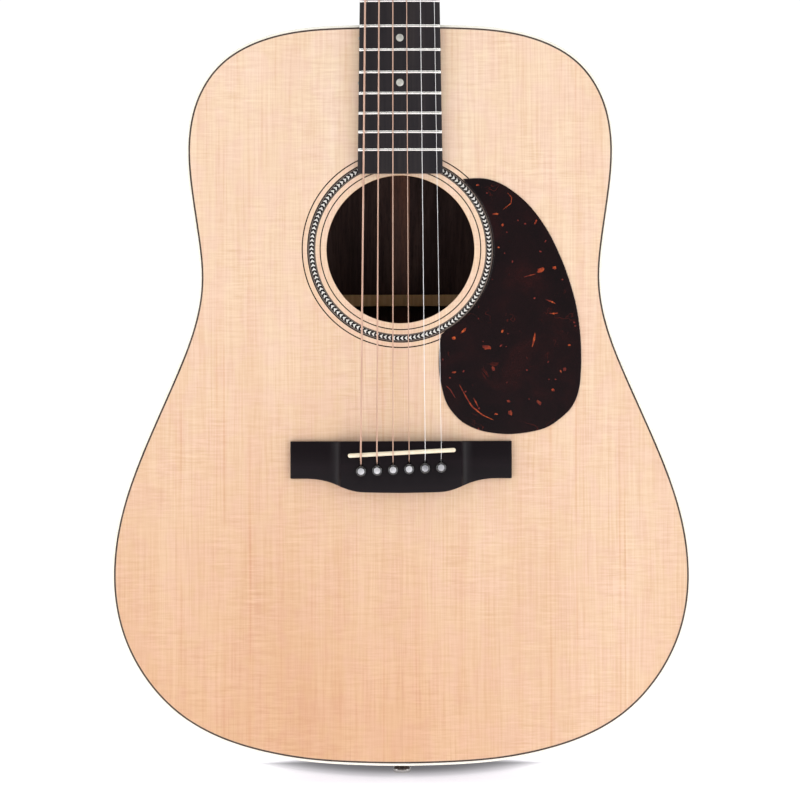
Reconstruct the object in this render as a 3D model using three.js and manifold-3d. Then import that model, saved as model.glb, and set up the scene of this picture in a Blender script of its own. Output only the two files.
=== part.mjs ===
// Six-string steel-string acoustic guitar of the square-shouldered, 14-fret kind, as an assembly of its separate pieces.
// Millimetres. +Z runs up the neck to the headstock, +X to the treble side seen from the front, -Y out of the soundboard towards the player's audience.
// The origin is on the centre plane, in line with the soundboard's face, at the nut's fretboard-side edge, where a wall hanger's yoke carries the neck.
import * as THREE from "three";
import { mergeVertices } from "three/addons/utils/BufferGeometryUtils.js";
import Module from "manifold-3d";

const wasm = await Module();
wasm.setup();

// ---------------------------------------------------------------- driving dimensions
const SCALE = 645.2; // nut to the twelfth fret, doubled
const BODY_MID_Z = -612.2; // the height that the outline table is measured from
// Half outline, from the middle of the neck end to the middle of the tail: half width, height.
const OUTLINE = [
  [0, 256.3], [31.9, 255.7], [63.7, 254.0], [94.7, 247.3], [122.3, 231.6], [139.9, 205.5], [145.9, 174.3],
  [143.9, 142.6], [139.4, 111.0], [137.2, 79.3], [143.0, 48.0], [154.3, 18.3], [167.2, -10.9], [179.7, -40.2],
  [190.2, -70.3], [196.5, -101.4], [196.9, -133.3], [189.7, -164.2], [174.6, -192.1], [152.7, -215.1],
  [125.3, -231.1], [95.0, -240.9], [63.6, -246.5], [31.9, -248.8], [0, -249.5],
];
const HALF_STEPS = 38; // outline facets on each side
const DEPTH_NECK = 99, DEPTH_TAIL = 123; // body depth at the edges
const BACK_RADIUS = 4572, BACK_CROWN = 7; // the back's dome
const TOP_T = 2.8, BACK_T = 2.5, SIDE_T = 2.2;
const BIND_W = 1.5, BIND_H = 6;
const GLUE = 0.05, FIT = 0.3; // gap between flat glued faces, and between curved ones
const HOLE_Z = -509.4, HOLE_R = 50.5;
const ROSE_IN = 58.1, ROSE_OUT = 63.3, ROSE_T = 1.2;
const FB_END = -458.0, FB_T = 6.3, FB_RADIUS = 406, FRETS = 20, FRET_H = 1.0, FRET_W = 2.0;
const NUT_W = 44.45, TAPER = 0.0295; // fretboard width grows this much per millimetre
const NUT_T = 4.8;
const HEAD_TILT = (15 * Math.PI) / 180, HEAD_L = 166, HEAD_WOOD = 13.4, HEADPLATE_T = 1.4, HEAD_Z0 = 5;
const POST_H = [43, 83, 123]; // along the headstock, from the nut's far edge
const POST_X = [21, 22.5, 24];
const POST_R = 3.0, POST_UP = 11.5, POST_HOLE_R = 3.5;
const GEAR_TEETH = 14, GEAR_R = 5.0, GEAR_OUT = 5.55, GEAR_ROOT = 4.25, GEAR_W = 2.8;
const PITCH = (2 * Math.PI * GEAR_R) / GEAR_TEETH;
const WORM_ROOT = 1.55, WORM_R = 2.3, WORM_OUT = 2.85, WORM_DIST = GEAR_R + WORM_R, WORM_TURNS = 2.5;
const PLATE_T = 1.0, PLATE_W = 17;
const BRIDGE_T = 8.6, BRIDGE_WING_T = 3.6;
const PIN_X = [27.2, 16.3, 5.45, -5.45, -16.3, -27.2]; // first string to sixth
const SADDLE_TOP = 11.6;
const STRING_R = [0.152, 0.203, 0.305, 0.406, 0.533, 0.673];
const NUT_SPREAD = 38.2, SADDLE_SPREAD = 54.6;

// ---------------------------------------------------------------- helpers
const V = (x, y, z) => new THREE.Vector3(x, y, z);
function solid(g) {
  const c = g.index ? g.clone() : g.clone();
  for (const k of Object.keys(c.attributes)) if (k !== "position") c.deleteAttribute(k);
  const m = mergeVertices(c, 1e-4);
  const s = new wasm.Manifold(new wasm.Mesh({ numProp: 3, vertProperties: new Float32Array(m.attributes.position.array), triVerts: new Uint32Array(m.index.array) }));
  return s;
}
function geometry(s) {
  const m = s.getMesh(), n = m.numProp, v = new Float32Array(m.numVert * 3);
  for (let i = 0; i < m.numVert; i++) v.set(m.vertProperties.subarray(i * n, i * n + 3), i * 3);
  return new THREE.BufferGeometry().setAttribute("position", new THREE.BufferAttribute(v, 3)).setIndex(new THREE.BufferAttribute(m.triVerts, 1));
}
const cut = (a, ...bs) => geometry(bs.reduce((s, b) => s.subtract(solid(b)), solid(a)));
const join = (a, ...bs) => geometry(bs.reduce((s, b) => s.add(solid(b)), solid(a)));
const common = (a, b) => geometry(solid(a).intersect(solid(b)));
function shapeOf(points, holes = []) {
  const s = new THREE.Shape(points.map(([a, b]) => new THREE.Vector2(a, b)));
  for (const h of holes) s.holes.push(new THREE.Path(h.map(([a, b]) => new THREE.Vector2(a, b))));
  return s;
}
const FLAT = (depth) => ({ depth, bevelEnabled: false, curveSegments: 1, steps: 1 });
// A shape drawn in x and z, made solid from y0 to y1.
const alongY = (points, y0, y1, holes) =>
  new THREE.ExtrudeGeometry(shapeOf(points, holes), FLAT(y1 - y0)).rotateX(Math.PI / 2).translate(0, y1, 0);
// A shape drawn in x and y, made solid from z0 to z1.
const alongZ = (points, z0, z1, holes) => new THREE.ExtrudeGeometry(shapeOf(points, holes), FLAT(z1 - z0)).translate(0, 0, z0);
const box = (x0, x1, y0, y1, z0, z1) =>
  new THREE.BoxGeometry(x1 - x0, y1 - y0, z1 - z0).translate((x0 + x1) / 2, (y0 + y1) / 2, (z0 + z1) / 2);
const circle = (cx, cz, r, n, turn = 0) =>
  Array.from({ length: n }, (_, i) => [cx + r * Math.cos(turn + (2 * Math.PI * i) / n), cz + r * Math.sin(turn + (2 * Math.PI * i) / n)]);
// Closed rings of equal length, joined in order and capped: the rings turn so that the faces point out.
function loft(rings, closed = false) {
  const n = rings[0].length, pos = [], idx = [];
  for (const r of rings) for (const p of r) pos.push(p[0], p[1], p[2]);
  const m = rings.length, last = closed ? m : m - 1;
  for (let i = 0; i < last; i++)
    for (let j = 0; j < n; j++) {
      const a = i * n + j, b = i * n + ((j + 1) % n), c = ((i + 1) % m) * n + j, d = ((i + 1) % m) * n + ((j + 1) % n);
      idx.push(a, b, d, a, d, c);
    }
  if (!closed) {
    const cap = (i, flip) => {
      const r = rings[i], o = V(...r[0]), e1 = V(...r[1]).sub(o);
      let nrm = V(0, 0, 0);
      for (let k = 0; k < n; k++) nrm.add(V(...r[k]).sub(o).cross(V(...r[(k + 1) % n]).sub(o)));
      nrm.normalize();
      const u = e1.clone().normalize(), w = nrm.clone().cross(u).normalize();
      const flat = r.map((p) => { const q = V(...p).sub(o); return new THREE.Vector2(q.dot(u), q.dot(w)); });
      for (const [a, b, c] of THREE.ShapeUtils.triangulateShape(flat, [])) idx.push(...(flip ? [i * n + a, i * n + c, i * n + b] : [i * n + a, i * n + b, i * n + c]));
    };
    cap(0, true);
    cap(m - 1, false);
  }
  const g = new THREE.BufferGeometry().setAttribute("position", new THREE.BufferAttribute(new Float32Array(pos), 3)).setIndex(idx);
  return volume(g) < 0 ? flipped(g) : g;
}
function volume(g) {
  const p = g.attributes.position, ix = g.index.array;
  let v = 0;
  for (let i = 0; i < ix.length; i += 3) {
    const a = V().fromBufferAttribute(p, ix[i]), b = V().fromBufferAttribute(p, ix[i + 1]), c = V().fromBufferAttribute(p, ix[i + 2]);
    v += a.dot(b.cross(c)) / 6;
  }
  return v;
}
function flipped(g) {
  const ix = g.index.array;
  for (let i = 0; i < ix.length; i += 3) [ix[i + 1], ix[i + 2]] = [ix[i + 2], ix[i + 1]];
  return g;
}
// A round tube along points, with a constant sideways direction, so that it never twists.
function tube(points, r, sides = 6) {
  const rings = points.map((p, i) => {
    const a = points[Math.max(0, i - 1)], b = points[Math.min(points.length - 1, i + 1)];
    const t = V(...b).sub(V(...a)).normalize(), side = V(1, 0, 0), w = t.clone().cross(side).normalize(), u = w.clone().cross(t).normalize();
    const k = i && i < points.length - 1 ? 1 / Math.max(0.75, Math.cos(V(...b).sub(V(...p)).angleTo(V(...p).sub(V(...a))) / 2)) : 1;
    return Array.from({ length: sides }, (_, j) => {
      const f = (2 * Math.PI * (j + 0.5)) / sides;
      return [p[0] + r * (Math.cos(f) * u.x + k * Math.sin(f) * w.x), p[1] + r * (Math.cos(f) * u.y + k * Math.sin(f) * w.y), p[2] + r * (Math.cos(f) * u.z + k * Math.sin(f) * w.z)];
    });
  });
  return loft(rings);
}

// ---------------------------------------------------------------- the body's outline
// Closed cubic spline through the table and its mirror image, equal steps of the table's index.
function periodicSpline(values) {
  const n = values.length, d = values.map((_, i) => 3 * (values[(i + 1) % n] - values[(i - 1 + n) % n]));
  let m = values.map(() => 0);
  for (let k = 0; k < 200; k++) m = m.map((_, i) => (d[i] - m[(i - 1 + n) % n] - m[(i + 1) % n]) / 4);
  return (t) => {
    const i = ((Math.floor(t) % n) + n) % n, j = (i + 1) % n, s = t - Math.floor(t);
    const a = values[i], b = values[j];
    return [
      a + s * m[i] + s * s * (3 * (b - a) - 2 * m[i] - m[j]) + s * s * s * (2 * (a - b) + m[i] + m[j]),
      m[i] + 2 * s * (3 * (b - a) - 2 * m[i] - m[j]) + 3 * s * s * (2 * (a - b) + m[i] + m[j]),
    ];
  };
}
const mirrored = [...OUTLINE, ...OUTLINE.slice(1, -1).reverse().map(([x, z]) => [-x, z])];
const fx = periodicSpline(mirrored.map((p) => p[0])), fz = periodicSpline(mirrored.map((p) => p[1]));
const SPANS = mirrored.length;
// Point of the outline, moved in by inset, at t from 0 (neck) over 0.5 (tail) to 1, treble side first.
function edge(t, inset = 0) {
  const [x, dx] = fx(t * SPANS), [z, dz] = fz(t * SPANS), l = Math.hypot(dx, dz);
  return [x + (dz / l) * inset, BODY_MID_Z + z - (dx / l) * inset];
}
// t where the outline, on the treble side, passes a given half width, searched from either end.
function tAt(x, tail) {
  let lo = tail ? 0.5 : 0, hi = tail ? 0.42 : 0.08;
  for (let k = 0; k < 50; k++) {
    const mid = (lo + hi) / 2;
    if (edge(mid)[0] < x) lo = mid; else hi = mid;
  }
  return lo;
}
const tNeck = tAt(12.5, false), tTail = 0.5 - 0.0004, tL0 = tAt(47.5, false), tL1 = tAt(40.5, true);
// Stations of the outline, closer together where it bends more: every bent piece uses the same ones, so that neighbours' facets run parallel.
const STATIONS = (() => {
  const D = 4000, sum = [0];
  for (let i = 1; i <= D; i++) {
    const t = (0.5 * (i - 0.5)) / D, e = 1e-4, a = edge(t - e), b = edge(t), c = edge(t + e);
    const l = Math.hypot(c[0] - a[0], c[1] - a[1]) / 2;
    const turn = Math.abs(((b[0] - a[0]) * (c[1] - b[1]) - (b[1] - a[1]) * (c[0] - b[0])) / (l * l));
    const bend = Math.max(turn / l, 1 / 500), step = Math.hypot(edge((0.5 * i) / D)[0] - edge((0.5 * (i - 1)) / D)[0], edge((0.5 * i) / D)[1] - edge((0.5 * (i - 1)) / D)[1]);
    sum.push(sum[i - 1] + Math.sqrt(bend) * step);
  }
  const ts = [0];
  for (let k = 1; k < HALF_STEPS; k++) {
    const want = (sum[D] * k) / HALF_STEPS;
    let i = sum.findIndex((v) => v >= want);
    ts.push((0.5 * (i - (sum[i] - want) / (sum[i] - sum[i - 1]))) / D);
  }
  ts.push(0.5);
  for (const t of [tNeck, tL0, tL1, tTail]) {
    const near = ts.findIndex((v, i) => i && i < ts.length - 1 && Math.abs(v - t) < 0.0025);
    if (near > 0) ts.splice(near, 1);
    ts.push(t);
  }
  ts.sort((a, b) => a - b);
  return [...ts, ...ts.slice(1, -1).reverse().map((t) => 1 - t)];
})();
const outline = (inset) => STATIONS.map((t) => edge(t, inset));
// Depth of the back's outside surface.
function backY(x, z) {
  const t = (BODY_MID_Z + 256.3 - z) / 505.8;
  return DEPTH_NECK + (DEPTH_TAIL - DEPTH_NECK) * t + BACK_CROWN - (x * x + (z - BODY_MID_Z - 3) ** 2) / (2 * BACK_RADIUS);
}
// A bent strip that follows the outline between two insets, from t0 to t1, with its own front and back edge.
function strip(t0, t1, inA, inB, front, back, closed = false) {
  const rings = [];
  for (const t of STATIONS) {
    if (t < t0 - 1e-9 || t > t1 + 1e-9) continue;
    const a = edge(t, inA), b = edge(t, inB);
    rings.push([[a[0], front(...a), a[1]], [a[0], back(...a), a[1]], [b[0], back(...b), b[1]], [b[0], front(...b), b[1]]]);
  }
  return loft(rings, closed);
}

const parts = {};
const add = (name, g, colour, rough = 0.6, metal = 0) => {
  const mesh = new THREE.Mesh(g, new THREE.MeshStandardMaterial({ color: new THREE.Color(...colour), roughness: rough, metalness: metal }));
  mesh.name = name;
  parts[name] = mesh;
};
const SPRUCE = [0.9, 0.72, 0.5], ROSEWOOD = [0.17, 0.09, 0.06], MAHOGANY = [0.33, 0.17, 0.1], EBONY = [0.045, 0.04, 0.042], BONE = [0.9, 0.87, 0.76];
const NICKEL = [0.72, 0.71, 0.69], SHELL = [0.12, 0.03, 0.03], WHITE = [0.93, 0.92, 0.87], BRONZE = [0.75, 0.52, 0.35], STEEL = [0.75, 0.76, 0.78], MAPLE = [0.82, 0.68, 0.48];

// ---------------------------------------------------------------- positions that several pieces share
const fretZ = (n) => -SCALE * (1 - Math.pow(2, -n / 12));
const fbHalf = (z) => (NUT_W - z * TAPER) / 2;
const pinAt = PIN_X.map((x) => [x, -659.4 + x * 0.044]); // the row of pins leans with the saddle
const saddleZ = (x) => -648.1 + x * 0.0517;
const stringX = (k, z) => ((NUT_SPREAD + ((SADDLE_SPREAD - NUT_SPREAD) * -z) / 648) * (2.5 - k)) / 5;
const head = new THREE.Matrix4().makeBasis(V(1, 0, 0), V(0, -Math.cos(HEAD_TILT), Math.sin(HEAD_TILT)), V(0, Math.sin(HEAD_TILT), Math.cos(HEAD_TILT)).negate())
  .premultiply(new THREE.Matrix4().makeTranslation(0, 0, HEAD_Z0));
// The head frame: x across, y out of the headstock's wooden face, z down towards the nut. H(x, out, up) is a point in it.
const H = (x, out, up) => V(x, out, -up).applyMatrix4(head);
const posts = [0, 1, 2].flatMap((i) => [{ side: 1, i }, { side: -1, i }]).map(({ side, i }) => ({ side, i, x: side * POST_X[i], up: POST_H[i] }));
// A string's end beside its post, and its turn sideways past the nut.
const stringEnd = (k) => { const p = postOf[k]; return H(p.x - p.side * (POST_R + 0.25 + STRING_R[k]), HEADPLATE_T + 6.0, p.up); };
const stringTurn = (k) => Math.atan2(stringEnd(k).x - stringX(k, 0), stringEnd(k).z);
// First string to sixth: treble side from the nut outwards, then bass side from the top inwards.
const postOf = [[1, 0], [1, 1], [1, 2], [-1, 2], [-1, 1], [-1, 0]].map(([s, i]) => posts.find((p) => p.side === s && p.i === i));

// ---------------------------------------------------------------- soundbox
const holesXZ = pinAt.map(([x, z]) => circle(x, z, 3.3, 12, Math.PI / 12));
let soundboard = alongY(outline(BIND_W + 0.1), 0, TOP_T, [circle(0, HOLE_Z, HOLE_R, 40), ...holesXZ]);
soundboard = cut(soundboard, alongY(circle(0, HOLE_Z, ROSE_OUT + 0.1, 40), -1, ROSE_T + 0.05, [circle(0, HOLE_Z, ROSE_IN - 0.1, 40)]));
add("soundboard", soundboard, SPRUCE);
add("rosette_ring", alongY(circle(0, HOLE_Z, ROSE_OUT, 40), 0, ROSE_T, [circle(0, HOLE_Z, ROSE_IN, 40)]), EBONY);

const backSheet = (y0, y1) => {
  // A domed sheet bigger than the body, between two offsets of the back's surface.
  const nx = 10, nz = 8, X = 205, Z0 = -870, Z1 = -350, pos = [], idx = [];
  const at = (i, j, k) => (k * (nz + 1) + j) * (nx + 1) + i;
  for (const off of [y0, y1]) for (let j = 0; j <= nz; j++) for (let i = 0; i <= nx; i++) {
    const x = -X + (2 * X * i) / nx, z = Z0 + ((Z1 - Z0) * j) / nz;
    pos.push(x, backY(x, z) + off, z);
  }
  for (let j = 0; j < nz; j++) for (let i = 0; i < nx; i++) {
    idx.push(at(i, j, 0), at(i + 1, j, 0), at(i + 1, j + 1, 0), at(i, j, 0), at(i + 1, j + 1, 0), at(i, j + 1, 0));
    idx.push(at(i, j, 1), at(i + 1, j + 1, 1), at(i + 1, j, 1), at(i, j, 1), at(i, j + 1, 1), at(i + 1, j + 1, 1));
  }
  const wall = (a, b) => idx.push(a(0), a(1), b(1), a(0), b(1), b(0));
  for (let i = 0; i < nx; i++) { wall((k) => at(i, 0, k), (k) => at(i + 1, 0, k)); wall((k) => at(i + 1, nz, k), (k) => at(i, nz, k)); }
  for (let j = 0; j < nz; j++) { wall((k) => at(0, j + 1, k), (k) => at(0, j, k)); wall((k) => at(nx, j, k), (k) => at(nx, j + 1, k)); }
  const g = new THREE.BufferGeometry().setAttribute("position", new THREE.BufferAttribute(new Float32Array(pos), 3)).setIndex(idx);
  return volume(g) < 0 ? flipped(g) : g;
};
add("back_plate", common(alongY(outline(BIND_W + 0.1), 60, 160), backSheet(-BACK_T, 0)), ROSEWOOD);

// Sides: two bent ribs that stop at the neck's mortise and meet at the tail.
const PIN_Y = 62;
const tailHole = new THREE.CylinderGeometry(5.6, 5.6, 60, 20).rotateX(Math.PI / 2).translate(0, PIN_Y, -850);
const ribFront = () => BIND_H + 0.1, ribBack = (x, z) => backY(x, z) - BIND_H - 0.1;
const rib = strip(tNeck, tTail, 0, SIDE_T, ribFront, ribBack);
const mirrorX = (g) => { const c = g.clone().scale(-1, 1, 1); return flipped(c.index ? c : mergeVertices(c)); };
add("side_treble", cut(rib, tailHole), ROSEWOOD);
add("side_bass", cut(mirrorX(rib), tailHole), ROSEWOOD);

// Bindings: white strips let into the corners.
add("binding_top", strip(tNeck, 1 - tNeck, 0, BIND_W, () => 0, () => BIND_H), WHITE);
add("binding_back", strip(0, 1, 0, BIND_W, (x, z) => backY(x, z) - BIND_H, backY, true), WHITE);

// Blocks at the neck and the tail.
const inside = (inset, y0, y1) => alongY(outline(inset), y0, y1);
const underBack = backSheet(-200, -BACK_T - 0.15);
const rodSlot = box(-3.3, 3.3, -1, 9.9, -420, -12);
const mortise = box(-11.6, 11.6, 5.9, 77.6, -386, -350);
add("neck_block", cut(common(common(box(-45, 45, TOP_T + GLUE, 140, -404, -340), inside(SIDE_T + 0.3, 0, 150)), underBack), mortise, rodSlot), MAHOGANY);
add("tail_block", cut(common(common(box(-38, 38, TOP_T + GLUE, 150, -880, -836), inside(SIDE_T + 0.3, 0, 150)), underBack), tailHole), MAHOGANY);

// Linings: strips that carry the two plates' edges, from block to block on each side.
const LIN_A = SIDE_T + 0.2, LIN_B = SIDE_T + 6.2;
const liningTop = strip(tL0, tL1, LIN_A, LIN_B, () => TOP_T + GLUE, () => 17);
const liningBack = strip(tL0, tL1, LIN_A, LIN_B, (x, z) => backY(x, z) - BACK_T - 15, (x, z) => backY(x, z) - BACK_T - 0.3);
add("lining_top_treble", liningTop, MAPLE);
add("lining_top_bass", mirrorX(liningTop), MAPLE);
add("lining_back_treble", liningBack, MAPLE);
add("lining_back_bass", mirrorX(liningBack), MAPLE);

// Soundboard braces, glued to its underside and clear of the linings.
const clipped = (g) => common(g, inside(LIN_B + 0.8, 0, 60));
const bar = (x0, z0, x1, z1, w, h, tip = 3) => {
  // A bar laid from one point to the other, its ends sloped down.
  const l = Math.hypot(x1 - x0, z1 - z0), a = Math.atan2(z1 - z0, x1 - x0);
  const side = [[0, 0], [l, 0], [l, tip], [l - 45, h], [45, h], [0, tip]];
  return new THREE.ExtrudeGeometry(shapeOf(side), FLAT(w)).translate(0, 0, -w / 2).rotateY(-a).translate(x0, TOP_T + GLUE, z0);
};
const XZ = -590, XA = (49 * Math.PI) / 180;
const xLeg = (s) => bar(-s * 205 * Math.sin(XA), XZ + 205 * Math.cos(XA), s * 260 * Math.sin(XA), XZ - 260 * Math.cos(XA), 8, 15);
const lap = (lo, hi) => new THREE.BoxGeometry(26, hi - lo, 26).translate(0, (lo + hi) / 2, XZ);
// The two legs halve into each other where they cross.
const wideLeg = (s) => bar(-s * 205 * Math.sin(XA), XZ + 205 * Math.cos(XA), s * 260 * Math.sin(XA), XZ - 260 * Math.cos(XA), 8.5, 15.5);
const legA = xLeg(1), legB = xLeg(-1);
add("x_brace_bass", clipped(cut(legA, common(wideLeg(-1), lap(-5, 10.4)))), SPRUCE);
add("x_brace_treble", clipped(cut(legB, common(wideLeg(1), lap(10.2, 40)))), SPRUCE);
add("transverse_brace", clipped(cut(bar(-170, -434, 170, -434, 12, 14), new THREE.CylinderGeometry(4.6, 4.6, 30, 12).rotateX(Math.PI / 2).translate(0, 7.4, -434))), SPRUCE);
add("tone_bar_upper", clipped(bar(90, -704, -118, -776, 7, 11)), SPRUCE);
add("tone_bar_lower", clipped(bar(128, -745, -60, -822, 7, 10)), SPRUCE);
add("bridge_plate", alongY([[-44, -636], [-88, -682], [88, -682], [44, -636]].reverse(), TOP_T + GLUE, TOP_T + GLUE + 2.6, pinAt.map(([x, z]) => circle(x, z, 3.5, 8, Math.PI / 8))), MAPLE);

// Back braces and the strip over the centre joint, which the braces are notched over.
const seam = (() => {
  const n = 12, z0 = -405, z1 = -834.5, rings = [];
  for (let i = 0; i <= n; i++) { const z = z0 + ((z1 - z0) * i) / n, y = backY(0, z) - BACK_T - 0.15; rings.push([[-7, y, z], [7, y, z], [7, y - 2, z], [-7, y - 2, z]]); }
  return loft(rings);
})();
add("back_seam_strip", seam, MAHOGANY);
[[-436, 8, 15], [-541, 8, 15], [-655, 17, 11], [-765, 17, 11]].forEach(([z, w, h], k) => {
  let half = 0;
  for (let t = 0; t < 0.5; t += 0.0005) { const p = edge(t, LIN_B + 0.8); if (p[1] < z + w / 2) { half = p[0]; break; } }
  for (let t = 0; t < 0.5; t += 0.0005) { const p = edge(t, LIN_B + 0.8); if (Math.abs(p[1] - z) < w / 2 + 1) half = Math.min(half, p[0]); }
  const xs = Array.from({ length: 9 }, (_, i) => -half + (2 * half * i) / 8), y = (x) => Math.min(backY(x, z - w / 2), backY(x, z + w / 2)) - BACK_T - 0.2;
  const outer = xs.map((x) => [x, y(x)]), inner = [[half, y(half) - 3], [half - 45, y(half - 45) - h], [-half + 45, y(half - 45) - h], [-half, y(half) - 3]];
  const brace = alongZ([...outer, ...inner], z - w / 2, z + w / 2);
  add("back_brace_" + (k + 1), cut(brace, box(-7.4, 7.4, y(0) - 2.9, y(0) + 10, z - 20, z + 20)), SPRUCE);
});

// ---------------------------------------------------------------- on the soundboard
// Pickguard: a thin sheet with one edge round the rosette.
const GUARD = [
  [42.7, -461.6], [53.1, -461.1], [60.4, -461.9], [68.9, -465.0], [77.4, -470.4], [86.0, -477.8], [93.3, -486.3], [100.6, -497.2], [105.4, -506.4],
  [111.5, -520.4], [116.4, -535.0], [120.1, -549.6], [122.3, -565.4], [123.1, -580.1], [122.9, -592.2], [121.9, -603.2], [119.5, -611.7], [115.2, -619.0],
  [107.9, -625.7], [99.3, -631.2], [88.4, -634.2], [75.0, -635.7], [62.8, -634.9], [51.9, -632.4], [42.1, -627.5], [34.8, -620.2], [30.5, -612.9],
  [28.1, -604.4], [26.3, -594.7], [25.9, -584.9], [26.5, -575.2], [27.5, -568.5],
];
// From the lower corner back to the upper one along the rosette.
const GUARD_R = 63.7, guardArc = [];
{
  const a0 = Math.atan2(-566.0 - HOLE_Z, 28.1), a1 = Math.atan2(-461.6 - HOLE_Z, 42.7);
  for (let i = 0; i < 22; i++) { const a = a0 + ((a1 - a0) * i) / 22; guardArc.push([GUARD_R * Math.cos(a), HOLE_Z + GUARD_R * Math.sin(a)]); }
}
add("pickguard", alongY([...GUARD, ...guardArc], -GLUE - 0.7, -GLUE), SHELL, 0.15);

// Bridge: full height in the middle, thin wings, a belly towards the tail.
const half = [[75.4, -640.2], [75.4, -665.7], [58, -666.0], [51, -667.3], [45, -669.4], [39, -672.0], [33, -674.1], [27, -675.0], [0, -675.4]];
const bridgePlan = [...half, ...half.slice(0, -1).reverse().map(([x, z]) => [-x, z])];
const COVE = { from: 50, to: 41, slope: 2 * Math.atan((BRIDGE_T - BRIDGE_WING_T) / 9) }; // a round cove between wing and block
const rise = Array.from({ length: 7 }, (_, i) => { const a = (COVE.slope * i) / 6, r = 9 / Math.sin(COVE.slope); return [COVE.from - r * Math.sin(a), -GLUE - BRIDGE_WING_T - r * (1 - Math.cos(a))]; });
const bridgeSide = [[80, -GLUE], [80, -GLUE - BRIDGE_WING_T], ...rise, ...rise.slice().reverse().map(([x, y]) => [-x, y]), [-80, -GLUE - BRIDGE_WING_T], [-80, -GLUE]];
const saddleTurn = -Math.atan(0.0517);
const saddleBar = (l, w, y0, y1) => new THREE.BoxGeometry(l, y1 - y0, w).translate(0, (y0 + y1) / 2, 0).rotateY(saddleTurn).translate(0.5, 0, saddleZ(0.5));
let bridge = common(alongY(bridgePlan.slice().reverse(), -20, 5), alongZ(bridgeSide, -690, -630));
bridge = cut(bridge, saddleBar(74.2, 3.3, -12, -3.2));
pinAt.forEach(([x, z]) => {
  bridge = cut(bridge, new THREE.CylinderGeometry(3.3, 3.3, 20, 12).translate(x, -5, z), box(x - 1.05, x + 1.05, -12, -4.4, z, z + 4.6), box(x - 1.05, x + 1.05, -12, -6.4, z, z + 6.6));
});
add("bridge", bridge, EBONY);
// Saddle: a bone bar with a crowned top.
const saddleProfile = [[-1.35, -3.5], [-1.35, -SADDLE_TOP + 1.1], [-0.8, -SADDLE_TOP + 0.3], [0, -SADDLE_TOP], [0.8, -SADDLE_TOP + 0.3], [1.35, -SADDLE_TOP + 1.1], [1.35, -3.5]];
add("saddle", new THREE.ExtrudeGeometry(shapeOf(saddleProfile.slice().reverse()), FLAT(73.4)).translate(0, 0, -36.7).rotateY(Math.PI / 2).rotateY(saddleTurn).translate(0.5, 0, saddleZ(0.5)), BONE);

// Bridge pins: tapered, fluted on the saddle side for the string.
pinAt.forEach(([x, z], k) => {
  const top = -BRIDGE_T - GLUE - 0.15; // underside of the head
  const profile = [[0, 19], [1.7, 19], [2.2, 17.5], [2.75, top - 0.02], [3.55, top - 0.02], [3.7, top - 0.9], [3.1, top - 2.1], [1.6, top - 2.9], [0, top - 3.1]];
  const pin = new THREE.LatheGeometry(profile.map(([r, y]) => new THREE.Vector2(r, y)), 12);
  const g = mergeVertices(solidSafe(pin));
  add("bridge_pin_" + (k + 1), cut(g.translate(x, 0, z), box(x - 1.0, x + 1.0, top + 0.05, 30, z + 1.45, z + 6)), EBONY, 0.3);
});
function solidSafe(g) {
  for (const k of Object.keys(g.attributes)) if (k !== "position") g.deleteAttribute(k);
  const m = mergeVertices(g, 1e-4);
  const p = m.index.array, keep = [];
  for (let i = 0; i < p.length; i += 3) if (p[i] !== p[i + 1] && p[i + 1] !== p[i + 2] && p[i] !== p[i + 2]) keep.push(p[i], p[i + 1], p[i + 2]);
  m.setIndex(keep);
  return volume(m) < 0 ? flipped(m) : m;
}
const lathe = (profile, n) => solidSafe(new THREE.LatheGeometry(profile.map(([r, y]) => new THREE.Vector2(r, y)), n));

// End pin in the tail block, for the strap.
const TAIL_Z = BODY_MID_Z - 249.5;
add("end_pin", lathe([[0, 30], [4.1, 30], [5.1, -0.4], [6.1, -0.5], [6.1, -2.2], [4.6, -3.4], [4.4, -6.5], [6.45, -9.2], [6.45, -11.4], [5.7, -12.2], [0, -12.2]], 16)
  .rotateX(Math.PI / 2).translate(0, PIN_Y, TAIL_Z), NICKEL, 0.25, 1);

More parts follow.
